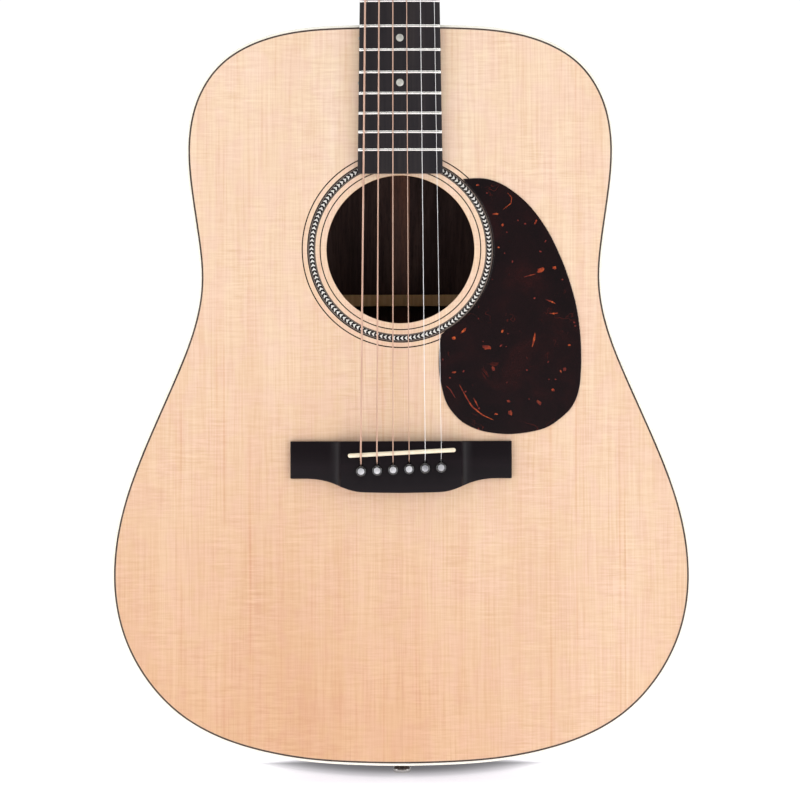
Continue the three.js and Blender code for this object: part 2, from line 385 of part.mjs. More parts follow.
// ---------------------------------------------------------------- neck
const NECK_Z1 = BODY_MID_Z + 256.3 + 0.3; // the heel's face
const smooth = (a, b, v) => { const s = Math.min(1, Math.max(0, (v - a) / (b - a))); return s * s * (3 - 2 * s); };
const HEEL_Y = 98.6;
function neckRing(z) {
  const w = fbHalf(Math.min(0, z)) - 0.05, shaft = 15.0 + 2.6 * Math.min(1, -z / 300);
  // How deep the heel reaches at this height.
  const H_PTS = [[-292, 0], [-302, 2.0], [-311, 7], [-317, 14], [-322, 25], [-326, 40], [-329.5, 58], [-332.5, 76], [-334.5, HEEL_Y - 17.6]];
  let extra = 0;
  if (z <= -334.5) extra = HEEL_Y - 17.6;
  else for (let i = 0; i < H_PTS.length - 1; i++) if (z <= H_PTS[i][0] && z > H_PTS[i + 1][0]) extra = H_PTS[i][1] + ((H_PTS[i + 1][1] - H_PTS[i][1]) * (H_PTS[i][0] - z)) / (H_PTS[i][0] - H_PTS[i + 1][0]);
  const d = shaft + extra, s = smooth(0, 45, extra), M = 7, ring = [];
  const one = (i) => {
    const a = (Math.PI / 2) * (i / M), nx = w * Math.pow(Math.cos(a), 0.82), ny = d * Math.pow(Math.sin(a), 0.95);
    const v = i / M, hy = d * Math.min(1, v * 1.08), cap = 13.2 + 3.0 * smooth(40, 0, extra);
    const hx = i === 0 ? w : cap + (w - cap) * Math.pow(1 - Math.min(1, hy / d), 2.4) ;
    return [nx * (1 - s) + (i === M ? hx * 0.82 : hx) * s, ny * (1 - s) + hy * s];
  };
  for (let i = 0; i <= M; i++) { const [x, y] = one(i); ring.push([i === M && s === 0 ? 0.6 : Math.max(x, 0.6), y, z]); }
  for (let i = M; i >= 0; i--) { const [x, y] = one(i); ring.push([-(i === M && s === 0 ? 0.6 : Math.max(x, 0.6)), y, z]); }
  return ring;
}
const neckStations = [14, 6, 0, -80, -180, -260, -292, -302, -311, -317, -322, -326, -329.5, -332.5, -334.5, -345, NECK_Z1];
const headHalf = [[22.2, -3], [22.2, 3], [23.2, 8], [26.4, 14], [29.2, 20], [30.2, 28], [34.0, 110], [36.4, HEAD_L - 12], [36.0, HEAD_L - 6], [32.5, HEAD_L - 2], [16, HEAD_L - 0.4], [0, HEAD_L]];
const headPlan = (grow = 0) => [...headHalf.map(([x, u]) => [x + grow, u]), ...headHalf.slice(0, -1).reverse().map(([x, u]) => [-x - grow, u])];
// An extrusion in the head frame between two distances out of the wooden face; its plan is x and height up the headstock.
const headSolid = (plan, out0, out1, holes = []) =>
  new THREE.ExtrudeGeometry(shapeOf(plan, holes), FLAT(out1 - out0)).rotateX(-Math.PI / 2).translate(0, out0, 0).applyMatrix4(head);
const postHoles = posts.map((p) => circle(p.x, p.up, POST_HOLE_R, 12));
let neck = join(loft(neckStations.map(neckRing)), headSolid(headPlan(), -HEAD_WOOD, 0.0, postHoles));
neck = cut(neck, new THREE.BoxGeometry(120, 40, 240).translate(0, 20, -118).applyMatrix4(head), box(-40, 40, -20, 0, -10, 5.0)); // the headstock's face, behind the nut
neck = join(neck, box(-11.3, 11.3, 6.3, 77.2, -382, NECK_Z1 + 2)); // tenon in the block's mortise
neck = cut(neck, rodSlot);
add("neck", neck, MAHOGANY);
add("headplate", headSolid(headPlan().filter(([, u]) => u > -1).concat([]).map(([x, u]) => [x, Math.max(u, 1.2)]), 0.1, HEADPLATE_T, postHoles), ROSEWOOD);

// Truss rod in the neck's slot, with its nut past the neck block.
add("truss_rod", join(box(-2.9, 2.9, 3.3, 9.5, -397, -14), new THREE.CylinderGeometry(2.0, 2.0, 13, 10).rotateX(Math.PI / 2).translate(0, 6.6, -402.5)), STEEL, 0.4, 1);
{
  const nut = new THREE.Shape(circle(0, 6.6, 3.55, 6).map(([a, b]) => new THREE.Vector2(a, b)));
  nut.holes.push(new THREE.Path(circle(0, 6.6, 2.35, 10).map(([a, b]) => new THREE.Vector2(a, b))));
  add("truss_rod_nut", new THREE.ExtrudeGeometry(nut, FLAT(11)).translate(0, 0, -416), STEEL, 0.35, 1);
}

// Fretboard with its twenty frets standing in it.
{
  const M = 2, ring = (z, up) => {
    const w = fbHalf(z), r = [[w, -GLUE, z]];
    for (let i = 0; i <= M; i++) { const x = w - (2 * w * i) / M; r.push([x, -FB_T + (x * x) / (2 * FB_RADIUS) - up, z]); }
    r.push([-w, -GLUE, z]);
    return r;
  };
  const rings = [ring(0, 0)];
  for (let n = 1; n <= FRETS; n++) { const z = fretZ(n); rings.push(ring(z + FRET_W / 2, 0), ring(z + 0.45, FRET_H), ring(z - 0.45, FRET_H), ring(z - FRET_W / 2, 0)); }
  rings.push(ring(FB_END, 0));
  add("fretboard", loft(rings), EBONY);
}
// Nut: bone, with a slot for each string.
const nutY = -FB_T - FRET_H - 0.75; // height of the strings' centres at the nut, about
{
  const profile = [[0.2, -GLUE], [0.2, nutY - 0.7], [3.4, nutY - 0.5], [NUT_T, nutY + 2.0], [NUT_T, -GLUE]]; // z, y
  let nut = new THREE.ExtrudeGeometry(shapeOf(profile.map(([z, y]) => [y, z]).reverse()), FLAT(NUT_W - 0.1)).translate(0, 0, -(NUT_W - 0.1) / 2);
  // Extruded along z with y and z drawn as x and y: turn it to lie across the neck.
  nut.applyMatrix4(new THREE.Matrix4().makeBasis(V(0, 1, 0), V(0, 0, 1), V(1, 0, 0)));
  for (let k = 0; k < 6; k++) {
    const x = stringX(k, 0), r = STRING_R[k] + 0.12, y = nutY + STRING_R[k] + 0.2;
    nut = cut(nut, new THREE.BoxGeometry(2 * r, 6, 8).translate(0, -3, 4).rotateX(-0.07).translate(x, y, -0.5), new THREE.BoxGeometry(2 * r, 6, 8).translate(0, -3, 4).rotateX(-0.3).rotateY(stringTurn(k)).translate(x, y + 0.06, 1.6));
  }
  add("nut", nut, BONE);
}

// ---------------------------------------------------------------- strings
for (let k = 0; k < 6; k++) {
  const r = STRING_R[k], [px, pz] = pinAt[k], p = postOf[k];
  const ySaddle = -SADDLE_TOP - r - 0.12, yNut = nutY;
  const end = stringEnd(k);
  const sz = saddleZ(stringX(k, -648)), sx = stringX(k, -648);
  const nx = stringX(k, 0);
  const path = [
    [px, 8.2, pz + 3.1], [px, 5.4, pz + 2.35], [px, -3.6, pz + 2.3], [px, -5.6, pz + 2.75], [px, -7.4, pz + 3.75], [px, -8.9, pz + 5.1],
    [sx, ySaddle + 0.25, sz - 1.6], [sx, ySaddle, sz], [sx, ySaddle + 0.04, sz + 1.6], [nx, yNut, 0.2], [nx, yNut + 0.12, 2.4], [end.x, end.y, end.z],
  ];
  const wire = tube(path, r, 6);
  const ball = new THREE.CylinderGeometry(1.9, 1.9, 3.4, 8).rotateZ(Math.PI / 2).translate(px, 8.3, pz + 4.7);
  add("string_" + (k + 1), join(wire, ball), k < 2 ? STEEL : BRONZE, 0.35, 1);
}

// ---------------------------------------------------------------- tuners: three machines on a plate for each side, worm and gear at the back
const GEAR_OUT_AT = -HEAD_WOOD - 0.05 - PLATE_T - 0.4 - WORM_OUT; // the gear's middle, out of the wooden face
// A gear round the Y axis whose teeth lean with the worm's lead.
function gear() {
  const twist = (GEAR_W * PITCH) / (2 * Math.PI * WORM_R) / GEAR_R, q = Math.PI / GEAR_TEETH;
  const ring = (y, turn) => Array.from({ length: GEAR_TEETH }, (_, i) => (2 * Math.PI * i) / GEAR_TEETH + turn)
    .flatMap((c) => [[GEAR_ROOT, c - q * 0.5], [GEAR_OUT, c - q * 0.24], [GEAR_OUT, c + q * 0.24], [GEAR_ROOT, c + q * 0.5]])
    .map(([r, a]) => [r * Math.cos(a), y, r * Math.sin(a)]);
  return loft([ring(-GEAR_W / 2, twist / 2), ring(GEAR_W / 2, -twist / 2)]);
}
function worm() {
  // The thread round the X axis, centred on the origin: a right-handed screw.
  const perTurn = 8, steps = Math.round(WORM_TURNS * perTurn), rings = [];
  for (let i = 0; i <= steps; i++) {
    const a = (2 * Math.PI * i) / perTurn, u = PITCH * (i / perTurn - WORM_TURNS / 2), c = Math.cos(a), s = Math.sin(a);
    const at = (r, du) => [u + du, r * c, r * s];
    rings.push([at(WORM_ROOT - 0.35, -0.62), at(WORM_OUT, -0.26), at(WORM_OUT, 0.26), at(WORM_ROOT - 0.35, 0.62)]);
  }
  return loft(rings);
}
const plates = { 1: [], "-1": [] };
posts.forEach((p) => {
  const k = postOf.indexOf(p) + 1, s = p.side;
  // Post: string hole at the front, waist for the wraps, gear at the back.
  const front = HEADPLATE_T + POST_UP, back = GEAR_OUT_AT - GEAR_W / 2;
  const gearG = gear().translate(0, GEAR_OUT_AT, 0);
  let g = join(lathe([[0, back - 1.2], [2.2, back - 1.2], [2.2, back], [2.8, back], [2.8, GEAR_OUT_AT + GEAR_W / 2 + 0.2], [POST_R, GEAR_OUT_AT + GEAR_W / 2 + 0.2], [POST_R, front - 0.7], [POST_R - 0.7, front], [0, front]], 10), gearG);
  g = cut(g, new THREE.CylinderGeometry(0.9, 0.9, 12, 6).rotateX(Math.PI / 2).translate(0, HEADPLATE_T + 7.6, 0));
  add("tuner_post_" + k, g.translate(p.x, 0, -p.up).applyMatrix4(head), NICKEL, 0.25, 1);
  // Worm shaft and button: above the post, running out past the headstock's edge.
  const edgeX = 35.0, yW = GEAR_OUT_AT, up = p.up + WORM_DIST, wx = p.x, outX = edgeX + 6.5;
  const shaftR = WORM_ROOT - 0.05;
  const L = outX + 3 - Math.abs(wx), inner = 8.2;
  let w = join(new THREE.CylinderGeometry(shaftR, shaftR, L + inner, 8).rotateZ(Math.PI / 2).translate(s * (L - inner) / 2, 0, 0), worm());
  // Button: an oval slab with a collar.
  const oval = new THREE.Shape(circle(0, 0, 1, 14).map(([a, b]) => new THREE.Vector2(a * 8.2, b * 10.2)));
  const slab = new THREE.ExtrudeGeometry(oval, FLAT(5.6)).translate(0, 0, -2.8);
  const knob = join(slab.rotateY(0).translate(s * (outX + 9.5 - Math.abs(wx)), 0, 0), new THREE.CylinderGeometry(2.7, 3.0, 5, 8).rotateZ(Math.PI / 2).translate(s * (outX + 0.6 - Math.abs(wx)), 0, 0));
  w = join(w, knob.rotateX(Math.PI / 2));
  add("tuner_button_" + k, w.translate(wx, yW, -up).applyMatrix4(head), NICKEL, 0.25, 1);
  plates[s].push({ p, up, yW });
});
for (const s of [1, -1]) {
  const x0 = s > 0 ? 13.2 : -13.2 - PLATE_W, plan = [[x0, 33], [x0 + PLATE_W, 33], [x0 + PLATE_W, 139], [x0, 139]];
  const out0 = -HEAD_WOOD - 0.05 - PLATE_T;
  let g = new THREE.ExtrudeGeometry(shapeOf(plan, plates[s].map(({ p }) => circle(p.x, p.up, POST_R + 0.35, 10))), FLAT(PLATE_T)).rotateX(-Math.PI / 2).translate(0, out0, 0);
  for (const { p, up, yW } of plates[s]) {
    for (const e of [-6.2, 6.2]) {
      const ear = box(p.x + e - 0.6, p.x + e + 0.6, yW - 2.9, out0 + 0.4, -up - 3, -up + 3);
      g = join(g, ear);
      g = cut(g, new THREE.CylinderGeometry(1.8, 1.8, 3, 8).rotateZ(Math.PI / 2).translate(p.x + e, yW, -up));
    }
  }
  add(s > 0 ? "tuner_plate_treble" : "tuner_plate_bass", g.applyMatrix4(head), NICKEL, 0.25, 1);
}

const group = new THREE.Group();
for (const m of Object.values(parts)) group.add(m);
export default group;
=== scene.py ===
# Looks of the acoustic guitar, built around its imported frame. Sizes below are in millimetres, as in the CAD, and the
# script divides them by 1000 into metres.
import bpy, bmesh, math
import numpy as np
from mathutils import Matrix, Vector
from mathutils.geometry import delaunay_2d_cdt


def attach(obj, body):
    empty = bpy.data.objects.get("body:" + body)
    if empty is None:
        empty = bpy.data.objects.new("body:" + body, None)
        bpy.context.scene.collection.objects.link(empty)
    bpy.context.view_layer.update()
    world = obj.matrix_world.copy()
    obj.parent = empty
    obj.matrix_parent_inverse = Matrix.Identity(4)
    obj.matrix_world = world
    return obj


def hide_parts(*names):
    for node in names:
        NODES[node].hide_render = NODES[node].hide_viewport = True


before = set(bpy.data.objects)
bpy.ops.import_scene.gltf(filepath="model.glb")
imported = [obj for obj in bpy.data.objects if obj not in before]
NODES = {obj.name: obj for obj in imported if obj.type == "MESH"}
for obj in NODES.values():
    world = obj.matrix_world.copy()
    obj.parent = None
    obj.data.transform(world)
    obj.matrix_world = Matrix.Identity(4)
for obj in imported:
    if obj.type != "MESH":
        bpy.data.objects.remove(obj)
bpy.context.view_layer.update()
scene = bpy.context.scene
BODY = "instrument"

# ------------------------------------------------------------------ shared sizes
SCALE, BODY_MID_Z = 645.2, -612.2
OUTLINE = [
  [0, 256.3], [31.9, 255.7], [63.7, 254.0], [94.7, 247.3], [122.3, 231.6], [139.9, 205.5], [145.9, 174.3],
  [143.9, 142.6], [139.4, 111.0], [137.2, 79.3], [143.0, 48.0], [154.3, 18.3], [167.2, -10.9], [179.7, -40.2],
  [190.2, -70.3], [196.5, -101.4], [196.9, -133.3], [189.7, -164.2], [174.6, -192.1], [152.7, -215.1],
  [125.3, -231.1], [95.0, -240.9], [63.6, -246.5], [31.9, -248.8], [0, -249.5],
]
DEPTH_NECK, DEPTH_TAIL, BACK_RADIUS, BACK_CROWN = 99, 123, 4572, 7
TOP_T, BACK_T, SIDE_T, BIND_W, BIND_H = 2.8, 2.5, 2.2, 1.5, 6.0
HOLE_Z, HOLE_R, ROSE_IN, ROSE_OUT = -509.4, 50.5, 58.1, 63.3
FB_END, FB_T, FB_RADIUS, FRETS, NUT_W, TAPER = -458.0, 6.3, 406.0, 20, 44.45, 0.0295
HEAD_TILT, HEAD_L, HEAD_WOOD, HEADPLATE_T, HEAD_Z0 = math.radians(15), 166, 13.4, 1.4, 5
POST_H, POST_X, POST_R, POST_UP = [43, 83, 123], [21, 22.5, 24], 3.0, 11.5
GEAR_TEETH, GEAR_R, GEAR_OUT, GEAR_ROOT, GEAR_W = 14, 5.0, 5.55, 4.25, 2.8
PITCH = 2 * math.pi * GEAR_R / GEAR_TEETH
WORM_ROOT, WORM_R, WORM_OUT, WORM_TURNS = 1.55, 2.3, 2.85, 2.5
WORM_DIST, PLATE_T = GEAR_R + WORM_R, 1.0
GEAR_AT = -HEAD_WOOD - 0.05 - PLATE_T - 0.4 - WORM_OUT
BRIDGE_T, BRIDGE_WING_T = 8.6, 3.6
PIN_X = [27.2, 16.3, 5.45, -5.45, -16.3, -27.2]
PINS = [(x, -659.4 + x * 0.044) for x in PIN_X]
SADDLE_TOP = 11.6
STRING_R = [0.152, 0.203, 0.305, 0.406, 0.533, 0.673]
NUT_SPREAD, SADDLE_SPREAD = 38.2, 54.6
NUT_Y = -FB_T - 1.0 - 0.75
saddle_z = lambda x: -648.1 + x * 0.0517
string_x = lambda k, z: (NUT_SPREAD + (SADDLE_SPREAD - NUT_SPREAD) * -z / 648) * (2.5 - k) / 5
fret_z = lambda n: -SCALE * (1 - 2 ** (-n / 12))
fb_half = lambda z: (NUT_W - z * TAPER) / 2
ct, st = math.cos(HEAD_TILT), math.sin(HEAD_TILT)
H = lambda x, out, up: Vector((x, -out * ct + up * st, out * st + up * ct + HEAD_Z0))
HEAD_M = Matrix(((1, 0, 0, 0), (0, -ct, -st, 0), (0, st, -ct, HEAD_Z0), (0, 0, 0, 1)))  # (x, out, -up) to the row frame, in mm
POSTS = {1: (1, 0), 2: (1, 1), 3: (1, 2), 4: (-1, 2), 5: (-1, 1), 6: (-1, 0)}  # string: side, place up the headstock
def post_at(k): s, i = POSTS[k]; return s, s * POST_X[i], POST_H[i]

# ------------------------------------------------------------------ outline
def periodic(values):
    v = np.array(values, float); n = len(v)
    d = 3 * (np.roll(v, -1) - np.roll(v, 1))
    A = np.zeros((n, n))
    for i in range(n): A[i, i] = 4; A[i, (i - 1) % n] = 1; A[i, (i + 1) % n] = 1
    m = np.linalg.solve(A, d)
    def f(t):
        i = np.floor(t).astype(int) % n; j = (i + 1) % n; s = t - np.floor(t)
        a, b = v[i], v[j]
        return (a + s * m[i] + s**2 * (3 * (b - a) - 2 * m[i] - m[j]) + s**3 * (2 * (a - b) + m[i] + m[j]),
                m[i] + 2 * s * (3 * (b - a) - 2 * m[i] - m[j]) + 3 * s**2 * (2 * (a - b) + m[i] + m[j]))
    return f
_mir = OUTLINE + [[-x, z] for x, z in OUTLINE[1:-1][::-1]]
_fx, _fz, SPANS = periodic([p[0] for p in _mir]), periodic([p[1] for p in _mir]), len(_mir)
def edge(t, inset=0.0):
    t = np.asarray(t, float)
    x, dx = _fx(t * SPANS); z, dz = _fz(t * SPANS); l = np.hypot(dx, dz)
    return np.stack([x + dz / l * inset, BODY_MID_Z + z - dx / l * inset], -1)
_tt = np.linspace(0, 1, 8001); _pp = edge(_tt)
_len = np.concatenate([[0], np.cumsum(np.hypot(*np.diff(_pp, axis=0).T))])
OUTLINE_LEN = _len[-1]
def by_length(n, a=0.0, b=1.0, closed=True):  # t values at equal lengths
    s = np.linspace(a, b, n, endpoint=not closed) * OUTLINE_LEN
    return np.interp(s, _len, _tt)
TS = by_length(420)
def back_y(x, z):
    t = (BODY_MID_Z + 256.3 - z) / 505.8
    return DEPTH_NECK + (DEPTH_TAIL - DEPTH_NECK) * t + BACK_CROWN - (x * x + (z - BODY_MID_Z - 3) ** 2) / (2 * BACK_RADIUS)

# ------------------------------------------------------------------ mesh helpers
def make(name, verts, faces, mats, idx=None, smooth=True, body=BODY, replaces=(), slot=None, uvs=None, angle=None, matrix=None):
    """A mesh object from millimetre vertices."""
    me = bpy.data.meshes.new(name)
    v = [matrix @ Vector(p) for p in verts] if matrix is not None else verts
    me.from_pydata([(p[0] / 1000, p[1] / 1000, p[2] / 1000) for p in v], [], faces)
    for m in mats: me.materials.append(m)
    if idx is not None: me.polygons.foreach_set("material_index", idx)
    if uvs is not None:
        layer = me.uv_layers.new(name="UVMap")
        for p in me.polygons:
            for li, vi in zip(p.loop_indices, p.vertices): layer.data[li].uv = uvs[vi]
    me.polygons.foreach_set("use_smooth", [smooth] * len(me.polygons))
    me.update()
    o = bpy.data.objects.new(name, me)
    scene.collection.objects.link(o)
    bm = bmesh.new(); bm.from_mesh(me); bmesh.ops.recalc_face_normals(bm, faces=bm.faces)
    if angle is not None:
        for e in bm.edges:
            if len(e.link_faces) == 2 and e.calc_face_angle(0) > math.radians(angle): e.smooth = False
    bm.to_mesh(me); bm.free()
    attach(o, body)
    if replaces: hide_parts(*replaces)
    return o
def bevel(o, width, segments=2, angle=30):
    m = o.modifiers.new("edge", "BEVEL"); m.width = width / 1000; m.segments = segments; m.limit_method = "ANGLE"; m.angle_limit = math.radians(angle)
    m.harden_normals = False
    return o
def loft(rings, closed=False, caps=True):
    """Vertices and faces of rings of equal length, joined in order."""
    n, m = len(rings[0]), len(rings)
    v = [tuple(p) for r in rings for p in r]; f = []
    for i in range(m if closed else m - 1):
        for j in range(n):
            a, b = i * n + j, i * n + (j + 1) % n; c, d = ((i + 1) % m) * n + j, ((i + 1) % m) * n + (j + 1) % n
            f.append((a, b, d, c))
    if not closed and caps: f.append(tuple(range(n))[::-1]); f.append(tuple((m - 1) * n + j for j in range(n)))
    return v, f
def lathe(profile, n, axis=1):
    """Round the Y axis: profile is (radius, y), its ends on the axis or not."""
    rings = [[(r * math.cos(2 * math.pi * j / n), y, r * math.sin(2 * math.pi * j / n)) for j in range(n)] for r, y in profile]
    v, f = [], []
    idx = []
    for (r, y), ring in zip(profile, rings):
        if r < 1e-6: idx.append([len(v)] * n); v.append((0, y, 0))
        else: idx.append(list(range(len(v), len(v) + n))); v += ring
    for i in range(len(rings) - 1):
        for j in range(n):
            q = [idx[i][j], idx[i][(j + 1) % n], idx[i + 1][(j + 1) % n], idx[i + 1][j]]
            q = [a for k, a in enumerate(q) if a != q[k - 1]]
            if len(q) > 2: f.append(tuple(q))
    return v, f
def merge(*parts):
    v, f, idx = [], [], []
    for k, p in enumerate(parts):
        n = len(v); v += list(p[0]); f += [tuple(a + n for a in q) for q in p[1]]; idx += [p[2] if len(p) > 2 else 0] * len(p[1])
    return v, f, idx
def moved(part, matrix): return ([tuple(matrix @ Vector(p)) for p in part[0]],) + tuple(part[1:])
def tube(points, r, sides=12, caps=True, side=Vector((1, 0, 0))):
    P = [Vector(p) for p in points]; rings = []
    for i, p in enumerate(P):
        t = (P[min(i + 1, len(P) - 1)] - P[max(i - 1, 0)]).normalized()
        w = t.cross(side).normalized(); u = w.cross(t).normalized()
        rings.append([tuple(p + r * (math.cos(2 * math.pi * j / sides) * u + math.sin(2 * math.pi * j / sides) * w)) for j in range(sides)])
    return loft(rings, caps=caps)
def smooth_path(points, step=0.6, sharp=()):
    """Rounds the corners of a path by repeated corner cutting."""
    P = [Vector(p) for p in points]
    for _ in range(3):
        Q = [P[0]]
        for a, b in zip(P[:-1], P[1:]):
            l = (b - a).length; k = min(0.25, step / l) if l > 0 else 0.25
            Q += [a.lerp(b, k), a.lerp(b, 1 - k)]
        P = Q + [P[-1]]
        step *= 0.5
    return [tuple(p) for p in P]
def fill(loops, extra=(), y=lambda x, z: 0.0, pick=None):
    """Triangles between closed loops in x and z, with extra inner points. pick(x, z) gives a face's material or None to drop it."""
    pts, edges = [], []
    for L in loops:
        n = len(pts); pts += [Vector((float(a), float(b))) for a, b in L]; edges += [(n + i, n + (i + 1) % len(L)) for i in range(len(L))]
    pts += [Vector((float(a), float(b))) for a, b in extra]
    vo, _, fo, _, _, _ = delaunay_2d_cdt(pts, edges, [], 0, 1e-6)
    V = [(p.x, y(p.x, p.y), p.y) for p in vo]; F, I = [], []
    for f in fo:
        c = sum((vo[i] for i in f), Vector((0, 0))) / len(f); m = pick(c.x, c.y)
        if m is not None: F.append(tuple(f)); I.append(m)
    return V, F, I
def circle(r, n, cx=0.0, cz=0.0, a0=0.0): return [(cx + r * math.cos(a0 + 2 * math.pi * i / n), cz + r * math.sin(a0 + 2 * math.pi * i / n)) for i in range(n)]
def inside(poly):
    P = np.array(poly)
    def f(x, z):
        a, b = P, np.roll(P, -1, 0)
        c = ((a[:, 1] > z) != (b[:, 1] > z)) & (x < (b[:, 0] - a[:, 0]) * (z - a[:, 1]) / (b[:, 1] - a[:, 1] + 1e-12) + a[:, 0])
        return bool(c.sum() % 2)
    return f

# ------------------------------------------------------------------ materials
def srgb(r, g, b): return tuple(((c / 255) / 12.92 if c / 255 <= 0.04045 else ((c / 255 + 0.055) / 1.055) ** 2.4) for c in (r, g, b)) + (1.0,)
class Mat:
    def __init__(self, name, rough=0.5, metal=0.0, spec=0.5, coat=0.0, coat_rough=0.05):
        self.m = bpy.data.materials.new(name); self.m.use_nodes = True
        self.t = self.m.node_tree; self.n = self.t.nodes; self.l = self.t.links
        self.b = self.n["Principled BSDF"]
        self.b.inputs["Roughness"].default_value = rough; self.b.inputs["Metallic"].default_value = metal
        self.b.inputs["Specular IOR Level"].default_value = spec
        self.b.inputs["Coat Weight"].default_value = coat; self.b.inputs["Coat Roughness"].default_value = coat_rough
        self._tc = None
    def node(self, kind, **kw):
        x = self.n.new(kind)
        for k, v in kw.items(): setattr(x, k, v)
        return x
    def put(self, sock, v):
        if isinstance(v, bpy.types.NodeSocket): self.l.new(v, sock)
        elif v is not None: sock.default_value = v
    def coords(self, scale=(1, 1, 1), uv=False, loc=(0, 0, 0), rot=(0, 0, 0)):
        if self._tc is None: self._tc = self.node("ShaderNodeTexCoord")
        mp = self.node("ShaderNodeMapping"); self.l.new(self._tc.outputs["UV" if uv else "Object"], mp.inputs["Vector"])
        mp.inputs["Scale"].default_value = scale; mp.inputs["Location"].default_value = loc; mp.inputs["Rotation"].default_value = rot
        return mp.outputs["Vector"]
    def noise(self, vec, scale=1.0, detail=2.0, rough=0.5, dist=0.0, color=False):
        x = self.node("ShaderNodeTexNoise"); self.l.new(vec, x.inputs["Vector"])
        x.inputs["Scale"].default_value = scale; x.inputs["Detail"].default_value = detail; x.inputs["Roughness"].default_value = rough; x.inputs["Distortion"].default_value = dist
        return x.outputs["Color" if color else "Fac"]
    def voronoi(self, vec, scale=1.0, feature="F1", out="Distance", rnd=1.0):
        x = self.node("ShaderNodeTexVoronoi", feature=feature); self.l.new(vec, x.inputs["Vector"]); x.inputs["Scale"].default_value = scale; x.inputs["Randomness"].default_value = rnd
        return x.outputs[out]
    def math(self, op, a, b=None, c=None, clamp=False):
        x = self.node("ShaderNodeMath", operation=op, use_clamp=clamp); self.put(x.inputs[0], a)
        if b is not None: self.put(x.inputs[1], b)
        if c is not None: self.put(x.inputs[2], c)
        return x.outputs[0]
    def ramp(self, fac, stops, mode="LINEAR"):
        x = self.node("ShaderNodeValToRGB"); self.put(x.inputs["Fac"], fac); x.color_ramp.interpolation = mode
        e = x.color_ramp.elements
        while len(e) < len(stops): e.new(0.5)
        for el, (p, c) in zip(e, stops): el.position = p; el.color = c if isinstance(c, tuple) else (c, c, c, 1)
        return x.outputs["Color"]
    def mix(self, fac, a, b, mode="MIX"):
        x = self.node("ShaderNodeMix", data_type="RGBA", blend_type=mode); self.put(x.inputs[0], fac); self.put(x.inputs[6], a); self.put(x.inputs[7], b)
        return x.outputs[2]
    def sep(self, vec):
        x = self.node("ShaderNodeSeparateXYZ"); self.l.new(vec, x.inputs[0]); return x.outputs
    def comb(self, x, y, z):
        c = self.node("ShaderNodeCombineXYZ"); self.put(c.inputs[0], x); self.put(c.inputs[1], y); self.put(c.inputs[2], z); return c.outputs[0]
    def vadd(self, a, b, op="ADD"):
        x = self.node("ShaderNodeVectorMath", operation=op); self.put(x.inputs[0], a); self.put(x.inputs[1], b); return x.outputs[0]
    def color(self, c): self.put(self.b.inputs["Base Color"], c); return self
    def rough(self, r): self.put(self.b.inputs["Roughness"], r); return self
    def bump(self, h, strength=0.3, dist=0.0002):
        x = self.node("ShaderNodeBump"); x.inputs["Strength"].default_value = strength; x.inputs["Distance"].default_value = dist; self.l.new(h, x.inputs["Height"])
        self.l.new(x.outputs["Normal"], self.b.inputs["Normal"]); return self

